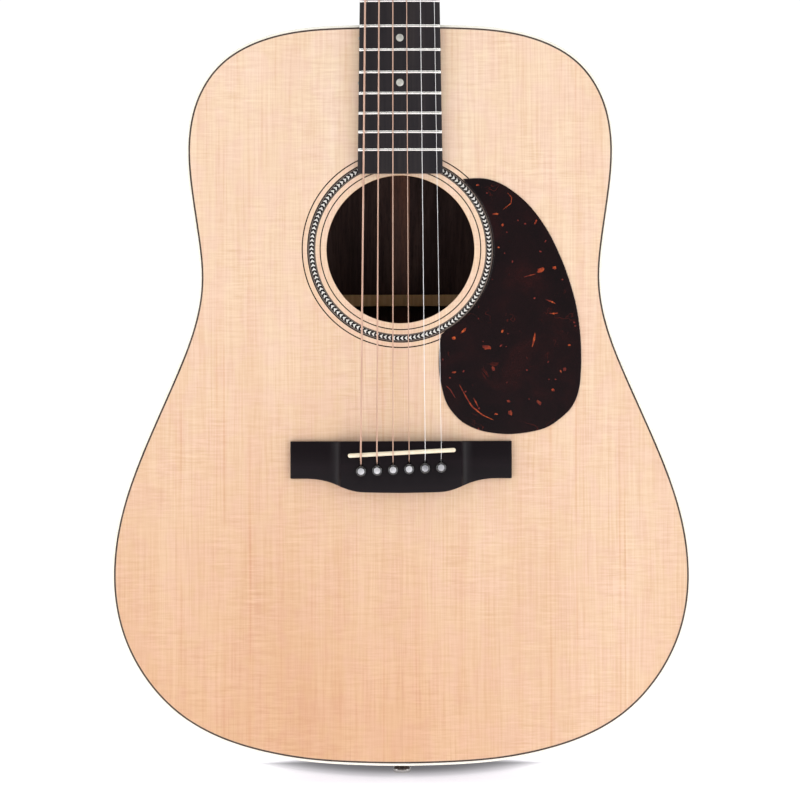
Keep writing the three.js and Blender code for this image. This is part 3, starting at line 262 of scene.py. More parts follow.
def spruce_top():
    M = Mat("spruce_top", rough=0.4, spec=0.3, coat=0.2, coat_rough=0.2)
    x, y, z = M.sep(M.coords())
    # Bookmatched halves: the grain runs up and down, mirrored about the centre joint, and wanders a little.
    u = M.math("ABSOLUTE", x)
    wob = M.noise(M.coords((3, 3, 2.2)), 1.0, 2.0)
    side = M.math("MULTIPLY", M.math("GREATER_THAN", x, 0.0), 0.0021)
    u2 = M.math("ADD", M.math("ADD", u, M.math("MULTIPLY", M.math("SUBTRACT", wob, 0.5), 0.006)), side)
    at = lambda sx, sz, ox=0.0: M.comb(M.math("ADD", M.math("MULTIPLY", u2, sx), ox), M.math("MULTIPLY", M.math("GREATER_THAN", x, 0.0), 0.15), M.math("MULTIPLY", z, sz))
    fine = M.noise(at(950, 13), 1.0, 2.0, 0.6)          # growth lines about a millimetre apart, fading in and out
    fine2 = M.noise(at(520, 30, 40), 1.0, 2.0, 0.6)     # shorter threads
    mid = M.noise(at(150, 4, 9), 1.0, 2.0, 0.5)         # bands of several millimetres
    broad = M.noise(at(24, 3.0, 3), 1.0, 3.0, 0.55)
    # Cross silk: short pale and dark flecks across the grain.
    silk = M.noise(M.comb(M.math("MULTIPLY", x, 75.0), 0.0, M.math("MULTIPLY", z, 950.0)), 1.0, 3.0, 0.62)
    silk2 = M.noise(M.comb(M.math("MULTIPLY", x, 38.0), 3.0, M.math("MULTIPLY", z, 420.0)), 1.0, 3.0, 0.62)
    patch = M.ramp(M.noise(M.coords((26, 1, 16)), 1.0, 3.0), [(0.32, 0.35), (0.68, 1.0)])
    silky = M.math("MULTIPLY", M.math("SUBTRACT", M.math("ADD", silk, silk2), 1.0), patch)
    c = M.ramp(broad, [(0.28, srgb(222, 193, 163)), (0.5, srgb(227.5, 202, 174)), (0.74, srgb(232, 210, 184))])
    c = M.mix(M.ramp(mid, [(0.42, 0.0), (0.75, 0.30)]), c, srgb(220, 183, 152), "MIX")
    c = M.mix(M.math("MULTIPLY", M.ramp(fine, [(0.44, 0.0), (0.70, 1.0)]), 0.42), c, srgb(208, 168, 134))
    c = M.mix(M.math("MULTIPLY", M.ramp(fine2, [(0.50, 0.0), (0.72, 1.0)]), 0.28), c, srgb(206, 164, 130))
    # A few stronger reddish lines where winters were hard.
    red = None
    for a, w, s in ((0.0125, 0.0009, 0.4), (0.031, 0.0007, 0.3), (0.104, 0.0012, 0.5), (0.1215, 0.0008, 0.45), (0.1265, 0.0007, 0.4), (0.151, 0.0010, 0.5), (0.1545, 0.0006, 0.45)):
        d = M.math("DIVIDE", M.math("ABSOLUTE", M.math("SUBTRACT", u2, a)), w)
        g = M.math("MULTIPLY", M.math("SUBTRACT", 1.0, d, clamp=True), s)
        red = g if red is None else M.math("MAXIMUM", red, g)
    fade = M.ramp(M.noise(M.coords((40, 1, 9), loc=(9, 0, 1)), 1.0, 2.0), [(0.38, 0.0), (0.66, 1.0)])
    c = M.mix(M.math("MULTIPLY", red, fade), c, srgb(206, 152, 116))
    c = M.mix(M.math("MULTIPLY", M.math("ABSOLUTE", silky), 1.5, clamp=True), c, M.mix(M.math("GREATER_THAN", silky, 0.0), srgb(204, 164, 130), srgb(242, 220, 194)))
    cloud = M.ramp(M.noise(M.coords((75, 1, 48), loc=(4, 0, 2)), 1.0, 2.0), [(0.44, 0.0), (0.58, 1.0)])
    c = M.mix(M.math("MULTIPLY", cloud, 0.7), c, (1.0, 0.965, 1.045, 1), "MULTIPLY")
    joint = M.math("LESS_THAN", M.math("ABSOLUTE", x), 0.0002)
    c = M.mix(M.math("MULTIPLY", joint, 0.22), c, srgb(190, 146, 112))
    # Partly painted shade and light: the plate is darkened and warmed towards the tail, as shade painted for light
    # falling from above. It is made a little paler on the treble side, as light painted for the lamp on the right. Part
    # of the warmth is the wood's own tone.
    low = M.ramp(M.math("DIVIDE", M.math("SUBTRACT", -0.40, z), 0.474, clamp=True), [(0.0, 0.0), (0.397, 0.29), (0.677, 0.72), (0.80, 0.88), (0.9, 1.0)])
    pale = M.math("MULTIPLY", M.math("DIVIDE", M.math("SUBTRACT", x, 0.012), 0.06, clamp=True), 0.45)
    painted_falloff = M.math("MULTIPLY", low, M.math("SUBTRACT", 1.0, pale))
    # Painted falloff of light across the plate, mixed into its colour.
    c = M.mix(painted_falloff, c, srgb(235.5, 215.5, 198), "MULTIPLY")
    M.color(c)
    M.rough(M.math("ADD", 0.36, M.math("MULTIPLY", fine, 0.1)))
    M.bump(M.math("ADD", fine, silk2), 0.1, 0.00005)
    return M.m
def wood(name, dark, mid, light, rough=0.4, coat=0.0, coat_rough=0.1, uv=False, grain=(420, 420, 9), pores=0.5, bands=(30, 30, 1.6), bumps=0.2, spec=0.5, swap=False, wander=0.25):
    """Wood whose grain runs along z of the object's own frame, or along u of its UV map in metres."""
    M = Mat(name, rough=rough, spec=spec, coat=coat, coat_rough=coat_rough)
    if uv:
        g = M.coords((grain[2], grain[0], 1), uv=True); b = M.coords((bands[2], bands[0], 1), uv=True)
    elif swap:
        g = M.coords((grain[2], grain[1], grain[0])); b = M.coords((bands[2], bands[1], bands[0]))
    else:
        g = M.coords(grain); b = M.coords(bands)
    w = M.noise(M.coords((4, 4, 1.2) if not uv else (1.2, 4, 1), uv=uv), 1.0, 2.0, color=True)
    b2 = M.vadd(b, M.vadd(M.vadd(w, (0.5, 0.5, 0.5), "SUBTRACT"), (wander * 12,) * 3, "MULTIPLY"))
    broad = M.noise(b2, 1.0, 4.0, 0.6, 0.3)
    fib = M.noise(g, 1.0, 4.0, 0.65)
    c = M.ramp(broad, [(0.28, dark), (0.5, mid), (0.72, light)])
    c = M.mix(M.math("MULTIPLY", M.ramp(fib, [(0.42, 0.0), (0.66, 1.0)]), 0.55), c, dark)
    if pores:
        p = M.noise(M.coords((grain[2] * 6, grain[0] * 4, 1), uv=True) if uv else M.coords((grain[0] * 4, grain[1] * 4, grain[2] * 6)) if not swap else M.coords((grain[2] * 6, grain[1] * 4, grain[0] * 4)), 1.0, 1.0)
        pp = M.ramp(p, [(0.60, 0.0), (0.70, 1.0)])
        c = M.mix(M.math("MULTIPLY", pp, pores), c, tuple(a * 0.35 for a in dark[:3]) + (1,))
        h = M.math("SUBTRACT", fib, M.math("MULTIPLY", pp, 0.6))
    else: h = fib
    M.color(c); M.rough(M.math("ADD", rough - 0.06, M.math("MULTIPLY", fib, 0.14))); M.bump(h, bumps, 0.0001)
    return M.m
ROSE = (srgb(24, 11, 8), srgb(58, 31, 22), srgb(98, 56, 38))
MAHO = (srgb(70, 34, 20), srgb(104, 56, 34), srgb(132, 78, 50))
m_spruce = spruce_top()
m_rose = wood("rosewood_back", *ROSE, rough=0.42, coat=0.3, coat_rough=0.16, spec=0.3, grain=(500, 500, 10), bands=(42, 42, 2.0), pores=0.6, wander=0.35)
m_rose_uv = wood("rosewood_sides", *ROSE, rough=0.42, coat=0.3, coat_rough=0.16, spec=0.3, uv=True, grain=(500, 0, 10), bands=(42, 0, 2.0), pores=0.6, wander=0.3)
m_rose_in = wood("rosewood_inside", srgb(46, 34, 33), srgb(74, 56, 53), srgb(100, 79, 72), rough=0.75, grain=(500, 500, 10), bands=(42, 42, 2.0), pores=0.4, wander=0.35, spec=0.15)
m_rose_head = wood("rosewood_headplate", *ROSE, rough=0.4, coat=0.3, coat_rough=0.14, spec=0.3, grain=(480, 60, 10), bands=(60, 20, 3.0), pores=0.5)
m_maho = wood("mahogany_neck", *MAHO, rough=0.5, coat=0.08, coat_rough=0.3, spec=0.3, grain=(700, 700, 16), bands=(60, 60, 4), pores=0.55, bumps=0.3)
m_maho_in = wood("mahogany_block", *MAHO, rough=0.7, grain=(700, 16, 700), bands=(60, 4, 60), pores=0.5, bumps=0.35)
m_ebony = wood("ebony_board", srgb(20, 17, 22), srgb(33, 28, 31), srgb(54, 47, 45), rough=0.42, grain=(900, 200, 14), bands=(80, 80, 4), pores=0.25, bumps=0.15, spec=0.3)
m_ebony_x = wood("ebony_bridge", srgb(9, 3, 7), srgb(14, 6, 10), srgb(19, 10, 15), rough=0.36, grain=(900, 200, 14), bands=(80, 80, 4), pores=0.2, bumps=0.06, swap=True, spec=0.15)
m_brace = wood("spruce_brace", srgb(186, 140, 92), srgb(212, 172, 122), srgb(226, 192, 146), rough=0.75, grain=(500, 500, 12), bands=(60, 60, 3), pores=0.0, bumps=0.3)
m_maple = wood("pale_lining", srgb(176, 132, 90), srgb(204, 164, 118), srgb(222, 188, 146), rough=0.75, grain=(600, 600, 20), bands=(40, 40, 5), pores=0.15, bumps=0.3)
def plain(name, col, var, rough, metal=0.0, spec=0.5, coat=0.0, scale=60, bumps=0.05, fine=900, coat_rough=0.05):
    """A near-even material with faint variation, fine surface texture and uneven gloss."""
    M = Mat(name, rough=rough, metal=metal, spec=spec, coat=coat, coat_rough=coat_rough)
    a = M.noise(M.coords((1, 1, 1)), scale, 3.0); f = M.noise(M.coords((1, 1, 1)), fine, 3.0, 0.6)
    M.color(M.mix(M.ramp(a, [(0.3, 0.0), (0.7, 1.0)]), col, var))
    M.rough(M.math("ADD", rough - 0.04, M.math("MULTIPLY", M.math("ADD", a, f), 0.06)))
    M.bump(f, bumps, 0.00004)
    return M.m
m_binding = plain("white_binding", srgb(238, 236, 224), srgb(230, 227, 212), 0.25, coat=0.5)
m_black = plain("black_line", srgb(18, 15, 15), srgb(28, 25, 24), 0.4, coat=0.0, spec=0.2)
m_white = plain("white_line", srgb(226, 220, 202), srgb(212, 205, 186), 0.35, coat=0.3)
m_brown = plain("brown_line", srgb(42, 20, 10), srgb(32, 14, 7), 0.5, coat=0.0, spec=0.15)
m_taupe = plain("taupe_line", srgb(116, 104, 96), srgb(92, 82, 76), 0.45, coat=0.0, spec=0.25)
m_grey = plain("grey_line", srgb(150, 146, 140), srgb(130, 126, 122), 0.4, coat=0.3)
m_bone = plain("polished_bone", srgb(238, 228, 204), srgb(226, 212, 184), 0.3, spec=0.5, coat=0.2, scale=180)
m_nickel = plain("bright_nickel", (0.46, 0.45, 0.43, 1), (0.38, 0.37, 0.35, 1), 0.24, metal=1.0, scale=120, bumps=0.03)
m_steel = plain("plain_steel", (0.86, 0.86, 0.87, 1), (0.78, 0.78, 0.79, 1), 0.36, metal=0.75, scale=200)
m_fret = plain("fret_wire", (0.74, 0.73, 0.70, 1), (0.66, 0.65, 0.62, 1), 0.24, metal=1.0, scale=300)
m_pin = plain("black_pin", srgb(12, 11, 12), srgb(20, 18, 20), 0.2, coat=0.25, scale=300)
m_dot = plain("pin_dot", srgb(192, 192, 195), srgb(128, 128, 133), 0.25, coat=0.2, scale=110)
m_pearl = plain("pearl_dot", srgb(196, 196, 188), srgb(158, 160, 152), 0.22, coat=0.5, scale=420)
# Painted shade for holes and slots: a dark surface laid where the recess would be.
m_painted_hole_shade = plain("painted_hole_shade", srgb(10, 9, 9), srgb(16, 14, 14), 0.7)
def wound():
    M = Mat("bronze_wound", rough=0.34, metal=1.0)
    x, y, z = M.sep(M.coords())
    w = M.node("ShaderNodeTexWave", wave_type="BANDS", bands_direction="Z", wave_profile="SIN"); M.l.new(M.coords(), w.inputs["Vector"]); w.inputs["Scale"].default_value = 2 * math.pi / 20 / 0.00034
    n = M.noise(M.coords((300, 300, 40)), 1.0, 2.0)
    M.color(M.mix(M.ramp(n, [(0.3, 0.0), (0.7, 1.0)]), (0.62, 0.42, 0.33, 1), (0.52, 0.33, 0.25, 1)))
    M.bump(w.outputs["Fac"], 0.5, 0.0001)
    return M.m
m_wound = wound()
def tortoise():
    M = Mat("tortoise_guard", rough=0.14, spec=0.24, coat=0.05, coat_rough=0.04)
    warp = M.noise(M.coords((1, 1, 1)), 60, 3.0, 0.6, color=True)
    v = M.vadd(M.coords(), M.vadd(M.vadd(warp, (0.5, 0.5, 0.5), "SUBTRACT"), (0.010, 0.0, 0.010), "MULTIPLY"))
    cloud = M.noise(v, 30, 5.0, 0.62, 0.5)
    c = M.ramp(cloud, [(0.34, srgb(16, 8, 10)), (0.52, srgb(23, 10, 12)), (0.66, srgb(33, 12, 13)), (0.82, srgb(50, 17, 15))])
    # Sparse specks: small dots in some of the cells, dull red to grey.
    def specks(scale, size, share, col, loc):
        vv = M.node("ShaderNodeTexVoronoi", feature="F1"); M.l.new(M.vadd(v, loc, "ADD"), vv.inputs["Vector"]); vv.inputs["Scale"].default_value = scale
        r = M.sep(vv.outputs["Color"])
        on = M.math("LESS_THAN", r[0], share)
        d = M.math("MULTIPLY", M.ramp(vv.outputs["Distance"], [(size * 0.55, 1.0), (size, 0.0)]), on)
        return M.math("MULTIPLY", d, M.math("ADD", 0.35, M.math("MULTIPLY", r[1], 0.65)))
    c = M.mix(specks(210, 0.16, 0.22, None, (0.3, 0, 0.1)), c, srgb(120, 46, 40))
    c = M.mix(specks(120, 0.12, 0.16, None, (0.7, 0, 0.5)), c, srgb(168, 78, 48))
    line = M.math("ABSOLUTE", M.math("SUBTRACT", M.noise(M.vadd(v, (0.33, 0.0, 0.5), "ADD"), 34, 3.0, 0.6, 1.2), 0.5))
    g = M.math("MULTIPLY", M.ramp(line, [(0.0, 1.0), (0.008, 0.0)]), M.ramp(M.noise(M.coords((1, 1, 1), loc=(2, 0, 4)), 42, 2.0), [(0.58, 0.0), (0.70, 0.5)]))
    c = M.mix(g, c, srgb(130, 44, 30))
    M.color(c)
    M.bump(M.noise(M.coords(), 700, 2.0), 0.02, 0.00004)
    return M.m
def fleck():
    M = Mat("amber_fleck", rough=0.14, spec=0.4, coat=0.2, coat_rough=0.04)
    n = M.noise(M.coords(), 700, 3.0, 0.6); k = M.noise(M.coords(), 60, 1.0)
    c = M.ramp(n, [(0.30, srgb(84, 26, 20)), (0.5, srgb(150, 56, 28)), (0.74, srgb(206, 104, 46))])
    c = M.mix(M.ramp(k, [(0.38, 0.0), (0.62, 0.85)]), c, srgb(78, 24, 24))
    M.color(c); M.bump(n, 0.02, 0.00004)
    return M.m
m_fleck = fleck()
m_tort = tortoise()

# ------------------------------------------------------------------ soundboard
rings = [edge(TS, d) for d in (BIND_W + 0.02, 1.9, 2.35, 2.75)]
in0, in1, in2, in3 = [inside(r) for r in rings]
def top_pick(x, z):
    r = math.hypot(x, z - HOLE_Z)
    if r < HOLE_R or (ROSE_IN < r < ROSE_OUT): return None
    if 54.4 < r < 55.15 or 66.6 < r < 67.4: return 3
    if ROSE_OUT <= r < ROSE_OUT + 0.4: return 1
    if not in0(x, z): return None
    if not in1(x, z): return 2
    if not in2(x, z): return 3
    if not in3(x, z): return 2
    return 0
CN = 160
V1, F1, I1 = fill(list(rings) + [circle(r, CN, 0, HOLE_Z) for r in (HOLE_R, 54.4, 55.15, ROSE_IN, ROSE_OUT, ROSE_OUT + 0.4, 66.6, 67.4)], y=lambda x, z: 0.0, pick=top_pick)
wall = loft([[(x, y, z) for x, z in circle(r, CN, 0, HOLE_Z)] for r, y in ((HOLE_R, 0.0), (HOLE_R, TOP_T))], caps=False)
V2, F2, I2 = fill([rings[0], circle(HOLE_R, CN, 0, HOLE_Z)], y=lambda x, z: TOP_T, pick=lambda x, z: 4 if in0(x, z) and math.hypot(x, z - HOLE_Z) > HOLE_R else None)
V, F, I = merge((V1, F1), wall, (V2, F2))
I = I1 + [5] * len(wall[1]) + I2
m_cut = wood("spruce_cut_edge", srgb(190, 140, 92), srgb(214, 170, 122), srgb(230, 192, 146), rough=0.6, grain=(300, 900, 300), bands=(40, 300, 40), pores=0)
make("soundboard_top", V, F, [m_spruce, m_black, m_taupe, m_brown, m_brace, m_cut], I, smooth=False, replaces=("soundboard",), slot="spruce_top")

# Rosette: grey and black stripes each side of a herringbone whose pale arrowheads run clockwise.
def rosette():
    V, F, I = [], [], []
    def quad(pts, m):
        n = len(V); V.extend([(r * math.cos(a), 0.0, HOLE_Z + r * math.sin(a)) for r, a in pts]); F.append((n, n + 1, n + 2, n + 3)); I.append(m)
    cells, sub = 134, 2
    step = -2 * math.pi / cells
    bands = [(ROSE_IN, 58.4, 0), (58.4, 58.95, 2), (58.95, 59.35, 0), (61.95, 62.3, 0), (62.3, 62.95, 2), (62.95, ROSE_OUT, 3)]
    for r0, r1, m in bands:
        for i in range(cells * sub):
            a0, a1 = step * i / sub, step * (i + 1) / sub
            quad([(r0, a0), (r1, a0), (r1, a1), (r0, a1)], m)
    mid = 60.65
    for e in (59.35, 61.95):
        for i in range(cells):
            # front and back edges of a chip along the ring, at the middle and at the rim
            fm, fe, bm_, be = i + 0.60, i + 0.06, i + 0.02, i - 0.16
            nf, ne = i + 1.0, i + 0.8
            quad([(mid, step * bm_), (e, step * be), (e, step * fe), (mid, step * fm)], 1)
            quad([(mid, step * fm), (e, step * fe), (e, step * ne), (mid, step * nf)], 0)
    side = loft([[(r * math.cos(2 * math.pi * j / 134), y, HOLE_Z + r * math.sin(2 * math.pi * j / 134)) for j in range(134)] for r, y in ((ROSE_IN, 0), (ROSE_IN, 1.2), (ROSE_OUT, 1.2), (ROSE_OUT, 0))], caps=False)
    n = len(V); V += side[0]; F += [tuple(a + n for a in q) for q in side[1]]; I += [0] * len(side[1])
    make("rosette_herringbone", V, F, [m_black, m_chip, m_taupe, m_brown], I, smooth=False, replaces=("rosette_ring",), slot="herringbone")
m_chip = plain("pale_chip", srgb(228, 226, 220), srgb(206, 202, 196), 0.35, coat=0.3)
rosette()

# ------------------------------------------------------------------ bindings, sides and back
def swept(name, profile, mats, mat_of, ts=TS, closed=True, y_at=None, **kw):
    """profile: (inset, y) points. y_at(x, z, y) places them."""
    rings = []
    loops = [edge(ts, d) for d, _ in profile]
    for i in range(len(ts)):
        rings.append([(loops[j][i][0], y_at(loops[j][i][0], loops[j][i][1], profile[j][1]) if y_at else profile[j][1], loops[j][i][1]) for j in range(len(profile))])
    n = len(profile)
    v, f = loft(rings, closed=closed)
    idx = [mat_of[k % n] if k < (len(ts) if closed else len(ts) - 1) * n else mat_of[0] for k in range(len(f))]
    s = np.interp(ts, _tt, _len) / 1000
    uvs = [(float(s[i]), profile[j][1] / 1000) for i in range(len(ts)) for j in range(n)]
    return make(name, v, f, mats, idx, uvs=uvs, angle=50, **kw)
B = BIND_H
swept("binding_front", [(BIND_W, 0.0), (0.55, 0.0), (0.16, 0.14), (0.0, 0.55), (0.0, B - 0.75), (0.0, B - 0.35), (0.0, B), (BIND_W, B)], [m_binding, m_black, m_white], [0, 0, 0, 0, 1, 2, 0, 0], replaces=("binding_top",), slot="binding")
by = lambda x, z, y: back_y(x, z) + y
swept("binding_rear", [(BIND_W, 0.0), (0.55, 0.0), (0.16, -0.14), (0.0, -0.55), (0.0, -B + 0.75), (0.0, -B + 0.35), (0.0, -B), (BIND_W, -B)], [m_binding, m_black, m_white], [0, 0, 0, 0, 1, 2, 0, 0], y_at=by, replaces=("binding_back",), slot="binding")
def side(name, t0, t1, node):
    ts = by_length(240, t0, t1, closed=False); P = edge(ts, 0.0); Q = edge(ts, SIDE_T)
    rows = 9; v, f, uvs, idx = [], [], [], []
    s = np.interp(ts, _tt, _len) / 1000
    for i in range(len(ts)):
        b = back_y(*P[i]) - B
        for r in range(rows): y = B + (b - B) * r / (rows - 1); v.append((P[i][0], y, P[i][1])); uvs.append((float(s[i]), y / 1000))
        for r in range(rows): y = b + (B - b) * r / (rows - 1); v.append((Q[i][0], y, Q[i][1])); uvs.append((float(s[i]) + 3, y / 1000))
    n = 2 * rows
    for i in range(len(ts) - 1):
        for r in range(n): f.append((i * n + r, i * n + (r + 1) % n, (i + 1) * n + (r + 1) % n, (i + 1) * n + r)); idx.append(0 if r < rows - 1 else 1)
    f.append(tuple(range(n))[::-1]); f.append(tuple((len(ts) - 1) * n + r for r in range(n))); idx += [1, 1]
    make(name, v, f, [m_rose_uv, m_rose_in], idx, uvs=uvs, angle=50, replaces=(node,), slot="rosewood")
t_tail = 0.5; gap = 12.5 / OUTLINE_LEN
side("side_rib_treble", gap, 0.5 - 0.2 / OUTLINE_LEN, "side_treble")
side("side_rib_bass", 0.5 + 0.2 / OUTLINE_LEN, 1 - gap, "side_bass")

def back():
    rings = [edge(TS, d) for d in (BIND_W + 0.02, 1.95, 2.35)]
    i0, i1, i2 = [inside(r) for r in rings]
    grid = [(x, z) for x in np.arange(-190, 191, 12.0) for z in np.arange(-858, -357, 12.0) if inside(edge(TS, 6))(x, z) and abs(x) > 6]
    strip = [-3.4, -2.9, -2.4, -1.9, 1.9, 2.4, 2.9, 3.4]
    zs = np.arange(-858.5, -358, 4.0)
    def pick(x, z):
        if not i0(x, z): return None
        if not i1(x, z): return 1
        if not i2(x, z): return 2
        a = abs(x)
        if a < 1.9: return 3
        if a < 2.4 or 2.9 < a < 3.4: return 1
        if a < 3.4: return 2
        return 0
    lines = [[(x, z) for z in zs] for x in strip]
    loops = list(rings)
    pts, edges = [], []
    for L in loops:
        n = len(pts); pts += [Vector((float(a), float(b))) for a, b in L]; edges += [(n + i, n + (i + 1) % len(L)) for i in range(len(L))]
    for L in lines:
        L = [p for p in L if i2(*p)]
        n = len(pts); pts += [Vector((float(a), float(b))) for a, b in L]; edges += [(n + i, n + i + 1) for i in range(len(L) - 1)]
    pts += [Vector((float(a), float(b))) for a, b in grid]
    vo, _, fo, _, _, _ = delaunay_2d_cdt(pts, edges, [], 0, 1e-6)
    def build(off):
        V = [(p.x, back_y(p.x, p.y) + off, p.y) for p in vo]; F, I = [], []
        for f in fo:
            c = sum((vo[i] for i in f), Vector((0, 0))) / len(f); m = pick(c.x, c.y)
            if m is not None: F.append(tuple(f)); I.append(m if off == 0 else 4)
        return V, F, I
    A, Bk = build(0.0), build(-BACK_T)
    V, F, _ = merge(A[:2], Bk[:2])
    make("back_panel", V, F, [m_rose, m_black, m_white, m_strip, m_rose_in], A[2] + Bk[2], replaces=("back_plate",), slot="rosewood")
def strip_material():
    M = Mat("back_strip", rough=0.35, coat=0.6)
    x, y, z = M.sep(M.coords())
    s = M.math("FRACT", M.math("MULTIPLY", M.math("ADD", z, M.math("ABSOLUTE", x)), 260.0))
    c = M.ramp(s, [(0.0, srgb(36, 22, 15)), (0.49, srgb(36, 22, 15)), (0.5, srgb(196, 158, 108)), (0.99, srgb(196, 158, 108))], "CONSTANT")
    c = M.mix(M.math("MULTIPLY", M.noise(M.coords((600, 600, 60)), 1.0, 3.0), 0.4), c, srgb(80, 52, 34))
    M.color(c); return M.m
m_strip = strip_material()
back()

# ------------------------------------------------------------------ pickguard
GUARD = [(42.7, -461.6), (53.1, -461.1), (60.4, -461.9), (68.9, -465.0), (77.4, -470.4), (86.0, -477.8), (93.3, -486.3), (100.6, -497.2), (105.4, -506.4),
  (111.5, -520.4), (116.4, -535.0), (120.1, -549.6), (122.3, -565.4), (123.1, -580.1), (122.9, -592.2), (121.9, -603.2), (119.5, -611.7), (115.2, -619.0),
  (107.9, -625.7), (99.3, -631.2), (88.4, -634.2), (75.0, -635.7), (62.8, -634.9), (51.9, -632.4), (42.1, -627.5), (34.8, -620.2), (30.5, -612.9),
  (28.1, -604.4), (26.3, -594.7), (25.9, -584.9), (26.5, -575.2), (27.6, -567.6)]
def guard():
    P = np.array(GUARD); n = len(P); out = []
    for i in range(n - 1):  # Catmull-Rom along the free edge
        p0, p1, p2, p3 = P[max(i - 1, 0)], P[i], P[i + 1], P[min(i + 2, n - 1)]
        for k in range(6):
            s = k / 6; out.append(0.5 * ((2 * p1) + (-p0 + p2) * s + (2 * p0 - 5 * p1 + 4 * p2 - p3) * s**2 + (-p0 + 3 * p1 - 3 * p2 + p3) * s**3))
    out.append(P[-1])
    a0, a1 = math.atan2(-566.2 - HOLE_Z, 28.3), math.atan2(-461.7 - HOLE_Z, 42.9)
    out += [np.array((63.7 * math.cos(a0 + (a1 - a0) * i / 60), HOLE_Z + 63.7 * math.sin(a0 + (a1 - a0) * i / 60))) for i in range(1, 60)]
    L = np.array(out)
    # Offset inwards for the rounded rim.
    def inset(L, d):
        t = np.roll(L, -1, 0) - np.roll(L, 1, 0); t /= np.linalg.norm(t, axis=1)[:, None]; nrm = np.stack([t[:, 1], -t[:, 0]], 1)
        return L + nrm * d
    area = 0.5 * np.sum(L[:, 0] * np.roll(L[:, 1], -1) - np.roll(L[:, 0], -1) * L[:, 1])
    sg = 1 if area < 0 else -1
    levels = [(0.0, -0.03), (0.0, -0.42), (0.12, -0.62), (0.34, -0.74)]
    R = [inset(L, sg * d) for d, _ in levels]
    v, f = loft([[(p[0], y, p[1]) for p in r] for r, (_, y) in zip(R, levels)], caps=False)
    # Amber flecks lie in the sheet: ovals and thin curved streaks, in millimetres from the guitar's own frame.
    rng = np.random.default_rng(7)
    def oval(x, z, a, b, deg):
        n = 14; c, s_ = math.cos(math.radians(deg)), math.sin(math.radians(deg)); w = 1 + rng.uniform(-0.28, 0.28, n); out = []
        for i in range(n):
            t = 2 * math.pi * i / n; u, q = a * w[i] * math.cos(t), b * w[i] * math.sin(t); out.append((x + u * c - q * s_, z + u * s_ + q * c))
        return out
    def streak(pts, w0):
        P = np.array(pts); T = np.linspace(0, 1, 4 * len(P)); k = np.linspace(0, 1, len(P)); Q = np.stack([np.interp(T, k, P[:, 0]), np.interp(T, k, P[:, 1])], 1)
        t = np.gradient(Q, axis=0); t /= np.linalg.norm(t, axis=1)[:, None]; nr = np.stack([-t[:, 1], t[:, 0]], 1)
        w = w0 * np.sin(np.pi * (0.08 + 0.84 * T)) * (1 + rng.uniform(-0.3, 0.3, len(T)))
        return [tuple(a) for a in Q + nr * w[:, None]] + [tuple(a) for a in (Q - nr * w[:, None])[::-1]]
    chips = [oval(95.6, -524.0, 2.4, 1.6, 20), oval(104.8, -522.5, 1.3, 1.0, 0), oval(58.4, -576.4, 3.0, 1.6, -8), oval(43.0, -565.0, 2.3, 0.8, 42), oval(36.2, -570.2, 1.3, 1.1, 20),
             oval(74.7, -621.2, 1.2, 1.7, 10), oval(73.4, -613.2, 1.2, 0.9, -30), oval(94.2, -614.2, 2.0, 1.0, -42), oval(111.7, -591.5, 1.3, 1.0, 55), oval(103.8, -605.6, 1.2, 0.8, -20),
             oval(63.0, -591.0, 1.0, 1.5, 25), oval(69.7, -493.0, 0.7, 1.2, -15), oval(64.8, -485.5, 2.0, 0.6, 0), oval(69.2, -565.5, 0.7, 1.2, -20), oval(36.4, -593.4, 1.7, 0.5, 12),
             oval(115.0, -575.0, 1.0, 0.5, 0), oval(65.0, -622.0, 1.2, 0.6, 0), oval(119.0, -562.0, 0.7, 0.6, 0), oval(52.5, -465.9, 0.8, 0.6, 0),
             streak([(99.0, -544.0), (103.0, -545.4), (105.5, -546.8)], 0.5), streak([(101.5, -553.4), (104.3, -553.6), (107.3, -553.2)], 0.45), streak([(91.6, -566.5), (91.0, -571.0), (89.5, -576.5)], 0.55),
             streak([(90.8, -482.0), (88.6, -485.5), (88.8, -490.0)], 0.5), streak([(91.5, -492.5), (93.0, -489.5)], 0.6), streak([(40.0, -602.0), (44.0, -609.5), (48.2, -616.5), (55.5, -622.5), (63.0, -626.0)], 0.45),
             streak([(49.6, -611.0), (51.4, -614.4), (52.8, -617.4)], 0.4), streak([(30.8, -602.6), (33.6, -605.0), (37.0, -610.8)], 0.4), streak([(84.0, -528.6), (88.0, -527.6), (92.0, -526.6)], 0.35),
             streak([(73.0, -471.0), (76.0, -474.4), (75.4, -478.4), (70.0, -482.6)], 0.22)]
    t0 = inside(R[-1]); chips = [c for c in chips if all(t0(*p) for p in c)]; ins = [inside(c) for c in chips]
    def pick(x, z):
        if not t0(x, z): return None
        return 1 if any(q(x, z) for q in ins) else 0
    V2, F2, I2 = fill([R[-1]] + chips, y=lambda x, z: -0.74, pick=pick)
    V, F, _ = merge((v, f), (V2, F2))
    make("pickguard_sheet", V, F, [m_tort, m_fleck], [0] * len(f) + I2, replaces=("pickguard",), slot="tortoise", angle=60)
guard()

